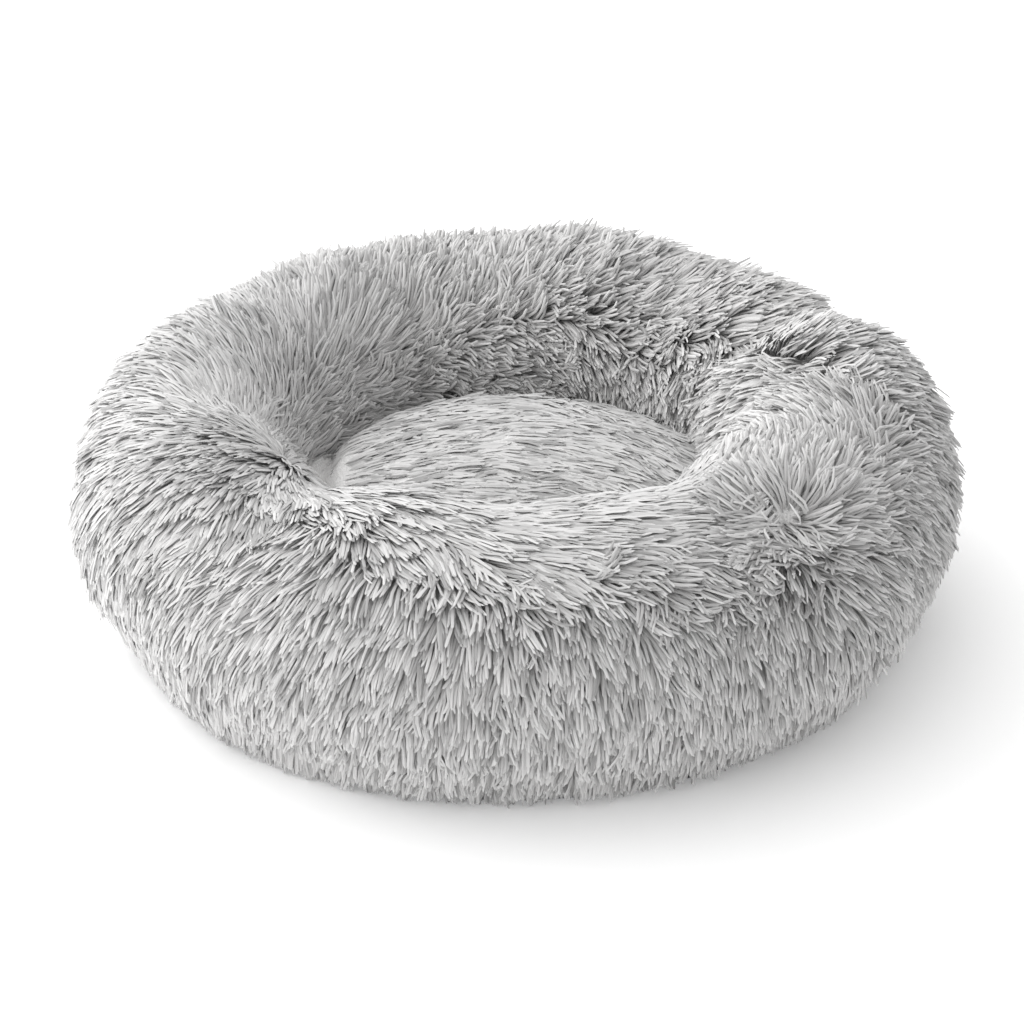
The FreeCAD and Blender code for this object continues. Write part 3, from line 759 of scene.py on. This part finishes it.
def fibre_stuffing():
    """Loose carded fibre: curly strands over soft lumps."""
    colour = (0.94, 0.94, 0.93)
    made = material("fibre_filling", colour, 0.95, Sheen_Weight=0.4, Sheen_Roughness=0.6)
    place = scaled(made)
    strands = bands(made, place, 60, "DIAGONAL", 14.0)
    lumps = noise(made, place, 60, 5)
    height = calculate(made, "ADD", strands, calculate(made, "MULTIPLY", lumps, 2))
    colour_of = ramp(made, lumps, shades(colour, (0.3, 0.90), (0.7, 1.0)))
    curls = ramp(made, strands, [(0.0, 0.94), (1.0, 1.0)])
    return finish_with(made, multiply(made, colour_of, curls), height, 0.6, 0.001)


def twisted_thread(name, colour):
    """Sewing thread: plies that wind round it, as fine slanted bands."""
    made = material(name, colour, 0.5, Sheen_Weight=0.2)
    plies = bands(made, scaled(made), 190, "DIAGONAL", 1.0)
    # Painted shade and light: the thread darkens in the grooves between its plies and lightens on
    # their crowns.
    tone = ramp(made, plies, shades(colour, (0.0, 0.72), (0.5, 1.0), (1.0, 1.12)))
    return finish_with(made, tone, plies, 0.5, 0.0001)


def rubber_dots():
    colour = (0.12, 0.12, 0.13)
    made = material("grip_dots", colour, 0.42)
    place = scaled(made)
    grain = noise(made, place, 700)
    tone = ramp(made, grain, shades(colour, (0.3, 0.9), (0.7, 1.1)))
    dust = ramp(made, noise(made, place, 60), [(0.35, 1.0), (0.75, 0.85)])
    return finish_with(made, multiply(made, tone, dust), grain, 0.2, 0.0001)


def tooth_plastic():
    colour = (0.24, 0.25, 0.27)
    made = material("zip_teeth", colour, 0.32)
    place = scaled(made)
    drawn = noise(made, scaled(made, 3, 1, 1), 500)
    tone = ramp(made, noise(made, place, 90), shades(colour, (0.3, 0.88), (0.7, 1.08)))
    return finish_with(made, tone, drawn, 0.1, 0.0001)


def painted_metal():
    """Lacquered zinc: fine orange peel, rubbed through to bare metal on the sharp edges."""
    colour = (0.30, 0.31, 0.33)
    made = material("zip_metal", colour, 0.36, Metallic=0.65, Coat_Weight=0.25)
    place = scaled(made)
    geometry = node(made, "ShaderNodeNewGeometry")
    scratches = noise(made, scaled(made, 1, 6, 6), 420, 5)
    rubbed = calculate(made, "ADD", scratches, 0.5)
    worn = calculate(made, "MULTIPLY", geometry.outputs["Pointiness"], rubbed)
    bare = ramp(made, worn, [(0.50, colour), (0.58, (0.56, 0.56, 0.57))])
    cloudy = ramp(made, noise(made, place, 150), [(0.3, 0.90), (0.7, 1.0)])
    return finish_with(made, multiply(made, bare, cloudy), scratches, 0.08, 0.0001)


INNER_BAG, STUFFING = bag_cloth(), fibre_stuffing()
THREAD = twisted_thread("thread", (0.42, 0.43, 0.45))
SEAM_THREAD = twisted_thread("seam_thread", (0.80, 0.80, 0.79))
DOTS, TEETH, METAL = rubber_dots(), tooth_plastic(), painted_metal()


# ---- Base cloth, with its zip ----

CLOTH_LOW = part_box("zip_strip_rear")[0].z
STRIP_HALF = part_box("zip_strip_rear")[1].y
ROOF_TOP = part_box("zip_strip_rear")[1].z
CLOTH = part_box("base_panel_rear")[1].z - CLOTH_LOW
ROOF = ROOF_TOP - CLOTH
TAPE_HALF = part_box("zip_tape_rear")[1].x
TAPE_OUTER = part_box("zip_tape_rear")[1].y
SLOT_HALF, SLOT_LENGTH = 0.0055, 0.110
RECESS_LENGTH, RECESS_WIDTH, RECESS_SLOPE = 0.132, 0.020, 0.006
THREAD_SIZE = 0.0005
PERIMETER_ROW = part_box("base_stitching")[1].y - 0.5 * THREAD_SIZE
STRIP_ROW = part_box("strip_stitching")[1].y - 0.5 * THREAD_SIZE


def cloth_under(x, y):
    """The height of the base cloth's underside: it clears the zip, puckers along its rows of
    stitches, and lifts a little off the floor between them."""
    inside = np.minimum(RECESS_LENGTH - np.abs(x), RECESS_WIDTH - np.abs(y))
    hood = ease(inside / RECESS_SLOPE)
    place = np.stack([x, y, 0 * x], -1)
    loose = 0.0009 * (1 + wave(place.reshape(-1, 3), 0.07, seed=41).reshape(x.shape)).clip(0, 2)
    radius, angle = np.hypot(x, y), np.arctan2(y, x)
    pucker = 0.00035 * (1 + np.sin(angle * PERIMETER_ROW / 0.0011)) * np.exp(
        -(((radius - PERIMETER_ROW + 0.005) / 0.006) ** 2)
    )
    pucker = pucker + 0.00030 * (1 + np.sin(x / 0.0012)) * np.exp(
        -(((np.abs(y) - STRIP_ROW - 0.003) / 0.005) ** 2)
    )
    seams = ease((PERIMETER_ROW - radius) / 0.03) * ease((np.abs(y) - STRIP_ROW) / 0.03)
    flat = CLOTH_LOW + pucker * (1 - hood) + loose * seams
    return flat + (ROOF - CLOTH_LOW) * hood


def cloth_piece(name, x, y, finish, thickness=CLOTH, low=None):
    """A closed sheet of cloth of this thickness over a grid of places on the base."""
    under = cloth_under(x, y) if low is None else low
    bottom = np.stack([x, y, under], -1)
    top = bottom + np.array([0, 0, thickness])
    loop = np.concatenate([bottom, top[:, ::-1]], 1)
    rows, columns = loop.shape[:2]
    faces = grid_faces(rows, columns, False, True)
    half = columns // 2
    for row in (0, rows - 1):
        for column in range(half - 1):
            mate = columns - 1 - column
            faces.append(
                (row * columns + column, row * columns + column + 1,
                 row * columns + mate - 1, row * columns + mate)
            )
    return plain_mesh(name, loop.reshape(-1, 3), faces, finish)


def base_panel(side, sign):
    turns = np.linspace(-1, 1, 241)
    reach = math.sqrt(BASE_RADIUS**2 - STRIP_HALF**2)
    x = np.sin(turns * math.pi / 2) * reach
    share = np.linspace(0, 1, 91)
    edge = np.maximum(np.sqrt(BASE_RADIUS**2 - x**2), STRIP_HALF + 1e-5)
    y = sign * (STRIP_HALF + share[None, :] * (edge - STRIP_HALF)[:, None])
    panel = cloth_piece(f"base_cloth_{side}", np.repeat(x[:, None], 91, 1), y, BASE_CLOTH)
    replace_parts(panel, f"base_panel_{side}")
    dots = grip_dots(side, sign)


def grip_dots(side, sign):
    """Cured drops of rubber on the cloth: low domes with a rounded foot."""
    radius, pitch, tall = 0.0025, 0.026, CLOTH_LOW
    first_row, reach_out, sides = 0.030, 0.230, 20
    profile = [(1.0, 0.0), (0.99, 0.35), (0.86, 0.68), (0.55, 0.92), (0.0, 1.0)]
    row_pitch = pitch * math.sqrt(0.75)
    rows = int(reach_out / row_pitch) + 1
    points, faces = [], []
    around = np.arange(sides) / sides * math.tau
    for row in range(rows):
        y = sign * (first_row + row * row_pitch)
        for column in range(-rows, rows + 1):
            x = (column + 0.5 * (row % 2)) * pitch
            if math.hypot(x, y) > reach_out:
                continue
            middle = cloth_under(np.array([x]), np.array([y]))[0]
            spread = 1 + 0.05 * rng.normal()
            squeeze = 1 + 0.04 * rng.normal()
            start = len(points)
            for reach, drop in profile[:-1]:
                px = x + radius * spread * squeeze * reach * np.cos(around)
                py = y + radius * spread / squeeze * reach * np.sin(around)
                pz = cloth_under(px, py) if drop == 0 else middle - tall * drop + 0 * px
                points.extend(np.stack([px, py, pz], -1))
            points.append((x, y, max(middle - tall, 0.0)))
            for face in grid_faces(len(profile) - 1, sides, False, True):
                faces.append(tuple(start + corner for corner in face))
            last = start + sides * (len(profile) - 2)
            for index in range(sides):
                faces.append((last + index, last + (index + 1) % sides, len(points) - 1))
            faces.append(tuple(range(start, start + sides)))
    return plain_mesh(f"grip_dots_{side}", points, faces, DOTS)


def zip_strip(side, sign):
    """A strip whose inner edge is folded over beside the zip's slot."""
    share = np.linspace(0, 1, 25)[None, :]
    along = np.linspace(-1, 1, 481)[:, None]
    x_middle = along * BASE_RADIUS
    inner = SLOT_HALF * ease((SLOT_LENGTH + 0.0015 - np.abs(x_middle)) / 0.0015) + 0.00005
    y = inner + share * (STRIP_HALF - inner)
    x = along * np.sqrt(BASE_RADIUS**2 - y**2)
    low = cloth_under(x, sign * y)
    fold = np.exp(-(((y - inner) / 0.0012) ** 2)) * (inner > 0.002)
    low = low - 0.0003 * fold + 0.00008 * np.sin(x / 0.0009) * np.exp(-(((y - inner) / 0.004) ** 2))
    strip = cloth_piece(f"strip_{side}", x, sign * y, BASE_CLOTH, low=low)
    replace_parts(strip, f"zip_strip_{side}")


def zip_tape(side, sign):
    x, y = np.meshgrid(
        np.linspace(-TAPE_HALF, TAPE_HALF, 237), np.linspace(0.0034, TAPE_OUTER, 12), indexing="ij"
    )
    low = ROOF_TOP + 0.00006 * (1 + np.sin(x / 0.0021 + 40 * y)) * ease((y - 0.004) / 0.004)
    tape = cloth_piece(f"tape_{side}", x, sign * y, TAPE_CLOTH, thickness=0.0006, low=low)
    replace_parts(tape, f"zip_tape_{side}")


def tube_skin(points, radii, sides):
    """The skin of a tube along points: its vertices and faces."""
    points = np.asarray(points, float)
    heading = unit(np.gradient(points, axis=0))
    upright = np.where(np.abs(heading[:, 2:3]) > 0.9, [[1.0, 0, 0]], [[0, 0, 1.0]])
    side = unit(np.cross(heading, upright))
    over = np.cross(side, heading)
    angle = np.arange(sides) / sides * math.tau
    ring = side[:, None] * np.cos(angle)[:, None] + over[:, None] * np.sin(angle)[:, None]
    vertices = points[:, None] + ring * np.asarray(radii)[:, None, None]
    faces = grid_faces(len(points), sides, False, True)
    faces.append(tuple(range(sides)))
    faces.append(tuple(range((len(points) - 1) * sides, len(points) * sides)))
    return vertices.reshape(-1, 3), faces


def zip_coil(side, sign):
    """Teeth of a coil zip: one filament wound flat, with a swollen head on each turn."""
    low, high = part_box(f"zip_coil_{side}")
    pitch, filament = 0.0015, 0.00036
    turns = int((high.x - low.x - 2 * filament) / pitch)
    angle = np.linspace(0, turns * math.tau, turns * 14 + 1)
    inner, outer = sorted((abs(low.y), abs(high.y)))
    swell = 0.35 * np.exp(-((1 - np.cos(angle - math.pi)) ** 2) * 4)
    half = (outer - inner) / 2 - filament * 1.35
    y = (inner + outer) / 2 + half * np.cos(angle)
    z = (low.z + high.z) / 2 + ((high.z - low.z) / 2 - filament * 1.35) * np.sin(angle)
    x = low.x + filament + angle / math.tau * pitch
    x = x + 0.0001 * np.sin(angle)
    points, faces = tube_skin(np.stack([x, sign * y, z], -1), filament * (1 + swell), 6)
    piece = plain_mesh(f"coil_{side}", points, faces, TEETH)
    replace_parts(piece, f"zip_coil_{side}")


def stitches(name, pairs, thread, finish, node_name):
    """Separate stitches, each a short thread that bows out between its two needle holes."""
    points, faces = [], []
    share = np.linspace(0, 1, 7)
    bow = np.sqrt(np.sin(share * math.pi).clip(0))
    for start, end, inward in pairs:
        start, end, inward = np.array(start), np.array(end), np.array(inward)
        line = start + (end - start) * share[:, None] - inward * ((bow - 1) * thread)[:, None]
        radii = 0.5 * thread * (0.55 + 0.45 * np.sin(share * math.pi) ** 0.4)
        vertices, sides = tube_skin(line, radii, 6)
        faces.extend(tuple(v + len(points) for v in face) for face in sides)
        points.extend(vertices)
    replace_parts(plain_mesh(name, points, faces, finish), node_name)


def stitch_line(places, gap=0.16):
    """Stitches between needle holes along a line, with a small gap at each hole."""
    pairs = []
    for start, end in zip(places, places[1:]):
        step = end - start
        pairs.append((start + gap / 2 * step, end - gap / 2 * step))
    return pairs


UP = np.array([0, 0, 1.0])


def flat_rows():
    """The rows of stitches under the base cloth."""
    turn = np.linspace(0, math.tau, 432)
    under = cloth_under(PERIMETER_ROW * np.cos(turn), PERIMETER_ROW * np.sin(turn))
    ring = round_place(PERIMETER_ROW, turn, under - 0.3 * THREAD_SIZE)
    pairs = [(a, b, UP) for a, b in stitch_line(ring)]
    stitches("base_row", pairs, THREAD_SIZE, THREAD, "base_stitching")
    for name, node_name, offset, length, spacing in (
        ("strip_rows", "strip_stitching", STRIP_ROW, 0.236, 0.0034),
        ("zip_rows", "zip_stitching", 0.008, 0.105, 0.0028),
    ):
        pairs = []
        for sign in (-1, 1):
            x = np.arange(-length, length, spacing)
            y = np.full(len(x), sign * offset)
            line = np.stack([x, y, cloth_under(x, y) - 0.3 * THREAD_SIZE], -1)
            pairs += [(a, b, UP) for a, b in stitch_line(line)]
        stitches(name, pairs, THREAD_SIZE, THREAD, node_name)


def end_tacks():
    """Bar tacks across both ends of the slot: close zigzag stitches."""
    low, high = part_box("zip_end_tacks")
    half, height, count = 0.0006, ROOF - 0.0001, 14
    pairs = []
    for place in (low.x + half, high.x - half):
        for index in range(count):
            y = low.y + (index + 0.5) / count * (high.y - low.y)
            lean = 0.0001 if index % 2 else -0.0001
            pairs.append(((place - half, y - lean, height), (place + half, y + lean, height), UP))
    stitches("end_tacks", pairs, 0.00045, THREAD, "zip_end_tacks")


def inner_rows():
    """The seam round the mat, and the seam that closes the bolster cover into a ring."""
    turn = np.linspace(0, math.tau, 208)
    ring = round_place(SEAM_RADIUS, turn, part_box("mat_seam")[1].z)
    pairs = [(a, b, UP) for a, b in stitch_line(ring)]
    stitches("mat_row", pairs, THREAD_SIZE, SEAM_THREAD, "mat_seam")
    tube_turn = np.radians(np.linspace(-55, 176, 66))
    seam_turn = np.full(len(tube_turn), math.radians(CREASE))
    line = ring_form(seam_turn, tube_turn, -0.0008)
    normal = ring_basis(seam_turn, tube_turn)[0]
    pairs = [(a, b, -n) for (a, b), n in zip(stitch_line(line), normal)]
    stitches("closing_row", pairs, THREAD_SIZE, SEAM_THREAD, "bolster_closing_seam")


for side, sign in (("front", -1), ("rear", 1)):
    base_panel(side, sign)
    zip_strip(side, sign)
    zip_tape(side, sign)
    zip_coil(side, sign)
flat_rows()
end_tacks()
inner_rows()
for metal_node in ("zip_slider", "zip_pull_tab", "zip_top_stops", "zip_bottom_stop"):
    metal_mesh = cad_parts[metal_node].data
    metal_mesh.materials.clear()
    metal_mesh.materials.append(METAL)


# ---- The covers' backing cloth ----

def bolster_cover():
    """The backing of the bolster's fur: from the base seam up over the tube to the mat seam."""
    turns = np.linspace(0, math.tau, 240, endpoint=False)
    tubes = np.radians(np.linspace(-62, 184, 56))
    around, across = np.meshgrid(turns, tubes, indexing="ij")
    # Where the pile lies calm, its undercoat stands up between the locks.
    around, across = around.ravel(), across.ravel()
    past, calm = laid(around, across, ring_form(around, across, -ROOTED))[1:]
    underfur = (0.0065 - 0.002 * past) * ease((calm - 0.45) / 0.5) * ease((2.8 - across) / 0.3)
    skin = ring_form(around, across, underfur).reshape(240, 56, 3)

    def ring_at(radius, height):
        return round_place(radius, turns, height)[:, None]

    foot = ring_at(PERIMETER_ROW + 0.002, CLOTH_LOW + CLOTH + 0.0004)
    knee = 0.5 * (foot + skin[:, :1]) + ring_at(0.0015, 0.0)
    neck = ring_at(SEAM_RADIUS + 0.004, MAT_LOW + 0.006)
    seam = ring_at(SEAM_RADIUS, MAT_LOW)
    skin = np.concatenate([foot, knee, skin, neck, seam], 1)
    cover = grid_mesh("bolster_cover", skin, True, False, BACKING)


def mat_cover():
    """The backing of the mat's fur, which dips to the seam at its edge."""
    radii, turns = np.meshgrid(
        np.linspace(0.0005, SEAM_RADIUS, 44), np.linspace(0, math.tau, 144, endpoint=False),
        indexing="ij",
    )
    skin = round_place(radii, turns, mat_height(radii))
    cover = grid_mesh("mat_cover", skin, False, True, BACKING)


def mat_height(radius):
    crowned = MAT_LOW + 0.0155 + MAT_CROWN * (1 - radius**2 / MAT_RADIUS**2)
    dip = ease((radius - 0.112) / (SEAM_RADIUS - 0.112))
    return crowned * (1 - dip) + MAT_LOW * dip


# ---- Inner bags and their filling ----

FRAMES = 20
OVER_ZIP = 0.0128


def read(mesh, field="co"):
    """A mesh's vertex places, or its normals, as rows of three."""
    values = np.empty(len(mesh.vertices) * 3)
    mesh.vertices.foreach_get(field, values)
    return values.reshape(-1, 3)


def inflate(piece, voxel, held, most):
    """Blow a sewn bag up as cloth. Points that held() picks stay where they are, and no
    point moves further than most."""
    scene = bpy.context.scene
    remesh = piece.modifiers.new("even", "REMESH")
    remesh.mode = "VOXEL"
    remesh.voxel_size = voxel
    even = bpy.data.meshes.new_from_object(
        piece.evaluated_get(bpy.context.evaluated_depsgraph_get())
    )
    piece.modifiers.clear()
    piece.data = even
    before = read(even)
    pins = piece.vertex_groups.new(name="seams")
    pins.add(np.flatnonzero(held(before)).tolist(), 1.0, "REPLACE")
    cloth = piece.modifiers.new("cloth", "CLOTH")
    cloth.settings.use_pressure = True
    cloth.settings.uniform_pressure_force = 4
    cloth.settings.quality = 4
    cloth.settings.vertex_group_mass = pins.name
    cloth.settings.effector_weights.gravity = 0
    cloth.collision_settings.use_collision = False
    cloth.point_cache.frame_start, cloth.point_cache.frame_end = 1, FRAMES
    for step in range(FRAMES):
        scene.frame_set(step + 1)
    move = read(piece.evaluated_get(bpy.context.evaluated_depsgraph_get()).data) - before
    far = np.linalg.norm(move, axis=1, keepdims=True)
    move *= np.minimum(1, most / np.maximum(far, 1e-9))
    piece.modifiers.clear()
    piece.vertex_groups.clear()
    scene.frame_set(1)
    even.vertices.foreach_set("co", (before + move).ravel())
    even.update()


def soften(piece):
    """One level of subdivision, applied."""
    piece.modifiers.new("smooth", "SUBSURF").levels = 1
    smooth = bpy.data.meshes.new_from_object(
        piece.evaluated_get(bpy.context.evaluated_depsgraph_get())
    )
    piece.modifiers.clear()
    piece.data = smooth
    piece.data.shade_smooth()


def bag_and_filling(name, points, closed_rows, seams, voxel, bag_node, fill_node):
    """A blown-up inner bag, and the lumpy filling that takes its shape inside it."""
    bag = grid_mesh(f"{name}_bag", points, closed_rows, True, INNER_BAG)
    inflate(bag, voxel, seams, 0.006)
    keep_inside(bag.data, name)
    filling = link(bpy.data.objects.new(f"{name}_filling", bag.data.copy()))
    filling.data.materials.clear()
    filling.data.materials.append(STUFFING)
    swollen, outward = read(filling.data), read(filling.data, "normal")
    lumps = 0.0016 + 0.0009 * wave(swollen, 0.02, seed=51) + 0.0004 * wave(swollen, 0.008, seed=52)
    swollen = swollen - outward * lumps.clip(0.0004, 0.004)[:, None]
    filling.data.vertices.foreach_set("co", swollen.ravel())
    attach(filling, "bed")
    for piece, cad_node in ((bag, bag_node), (filling, fill_node)):
        soften(piece)
        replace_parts(piece, cad_node)


def keep_inside(mesh, name):
    """Hold a bag inside its cover, and above the base cloth and the zip."""
    places = read(mesh)
    x, y = places[:, 0], places[:, 1]
    radius = np.hypot(x, y)
    room = np.minimum(RECESS_LENGTH + 0.002 - np.abs(x), RECESS_WIDTH + 0.0025 - np.abs(y))
    cloth_top = cloth_under(x, y) + CLOTH + 0.0005
    zip_top = np.where(room > 0, OVER_ZIP * ease(room / 0.004), 0)
    places[:, 2] = np.maximum(places[:, 2], np.maximum(cloth_top, zip_top))
    if name == "mat":
        roof = mat_height(np.minimum(radius, SEAM_RADIUS)) - 0.0012
        places[:, 2] = np.minimum(places[:, 2], roof)
    else:
        turn = np.arctan2(y, x)
        tube_angle = np.arctan2(places[:, 2] - TUBE_MIDDLE, radius - RING)
        upper = tube_angle > math.radians(-20)
        limit = ring_form(turn, tube_angle, -0.0012)
        middle = round_place(RING, turn, TUBE_MIDDLE)
        reach = np.linalg.norm(places - middle, axis=1)
        allowed = np.linalg.norm(limit - middle, axis=1)
        share = np.where(upper, np.minimum(1, allowed / np.maximum(reach, 1e-9)), 1)
        places = middle + (places - middle) * share[:, None]
    mesh.vertices.foreach_set("co", places.ravel())
    mesh.update()


def bolster_bag():
    """A ring-shaped bag, flat where it rests on the base, sewn along its inside and outside."""
    turn, tube_angle = np.meshgrid(
        np.linspace(0, math.tau, 300, endpoint=False), np.linspace(0, math.tau, 72, endpoint=False),
        indexing="ij",
    )
    upper = ring_form(turn.ravel(), tube_angle.ravel(), -0.005)
    sine, cosine = np.sin(tube_angle.ravel()), np.cos(tube_angle.ravel())
    height = TUBE_MIDDLE - 0.0862 * np.abs(sine) ** 0.7
    reach = RING + (SKIN - 0.006) * cosine * (1 - 0.10 * np.abs(sine))
    lower = round_place(reach, turn.ravel(), height)
    points = np.where(sine[:, None] < 0, lower, upper).reshape(300, 72, 3)
    # The cloth gathers along the two seams.
    for seam_angle in (0.2, 2.9):
        close = np.exp(-(((tube_angle - seam_angle) / 0.22) ** 2))
        points[..., 2] += 0.0010 * np.sin(turn * 150) * close

    def seams(places):
        radius = np.hypot(places[:, 0], places[:, 1])
        return (np.abs(places[:, 2] - 0.097) < 0.004) & (np.abs(radius - RING) > 0.05)

    bag_and_filling("bolster", points, True, seams, 0.0065, "bolster_liner", "bolster_fill")


def mat_bag():
    """A round crowned bag with a seam round its shoulder, and room for the zip under it."""
    shoulder = 0.1395
    profile = [(0.0005, 0.0030), (0.03, 0.0026), (0.06, 0.0026), (0.09, 0.0026), (0.115, 0.0030),
               (0.130, 0.006), (0.137, 0.014), (0.139, 0.030), (0.1385, 0.048), (0.1390, 0.064),
               (shoulder, 0.076), (0.1375, 0.0805), (0.131, 0.0790)]
    top = [
        (radius, float(mat_height(np.array(radius))) - 0.002)
        for radius in (0.125, 0.118, 0.105, 0.09, 0.07, 0.045, 0.02, 0.0005)
    ]
    ends = np.array(profile + top)
    distance = np.concatenate([[0], np.cumsum(np.linalg.norm(np.diff(ends, axis=0), axis=1))])
    even = np.linspace(0, distance[-1], 96)
    radius = np.interp(even, distance, ends[:, 0])[:, None]
    height = np.interp(even, distance, ends[:, 1])[:, None]
    turn = np.linspace(0, math.tau, 180, endpoint=False)[None, :]
    close = np.exp(-(((height - 0.074) / 0.012) ** 2)) * (radius > 0.12)
    gather = 0.0012 * np.sin(turn * 64) * close
    points = round_place(radius + gather, turn, height)

    def seams(places):
        radius = np.hypot(places[:, 0], places[:, 1])
        return (places[:, 2] < 0.012) | ((np.abs(places[:, 2] - 0.076) < 0.004) & (radius > 0.13))

    bag_and_filling("mat", points, False, seams, 0.0055, "mat_liner", "mat_fill")


bolster_bag()
mat_bag()
bolster_cover()
mat_cover()


# ---- Floor ----

WIDE = 6
corners = [(-WIDE, -WIDE, 0), (WIDE, -WIDE, 0), (WIDE, WIDE, 0), (-WIDE, WIDE, 0)]
floor_mesh = bpy.data.meshes.new("floor")
floor_mesh.from_pydata(corners, [], [(0, 1, 2, 3)])
paper = material("floor", (0.93, 0.93, 0.93), 0.9, Emission_Strength=0.22)
paper.node_tree.nodes["Principled BSDF"].inputs["Emission Color"].default_value = (1, 1, 1, 1)
floor_mesh.materials.append(paper)
floor = link(bpy.data.objects.new("floor", floor_mesh))
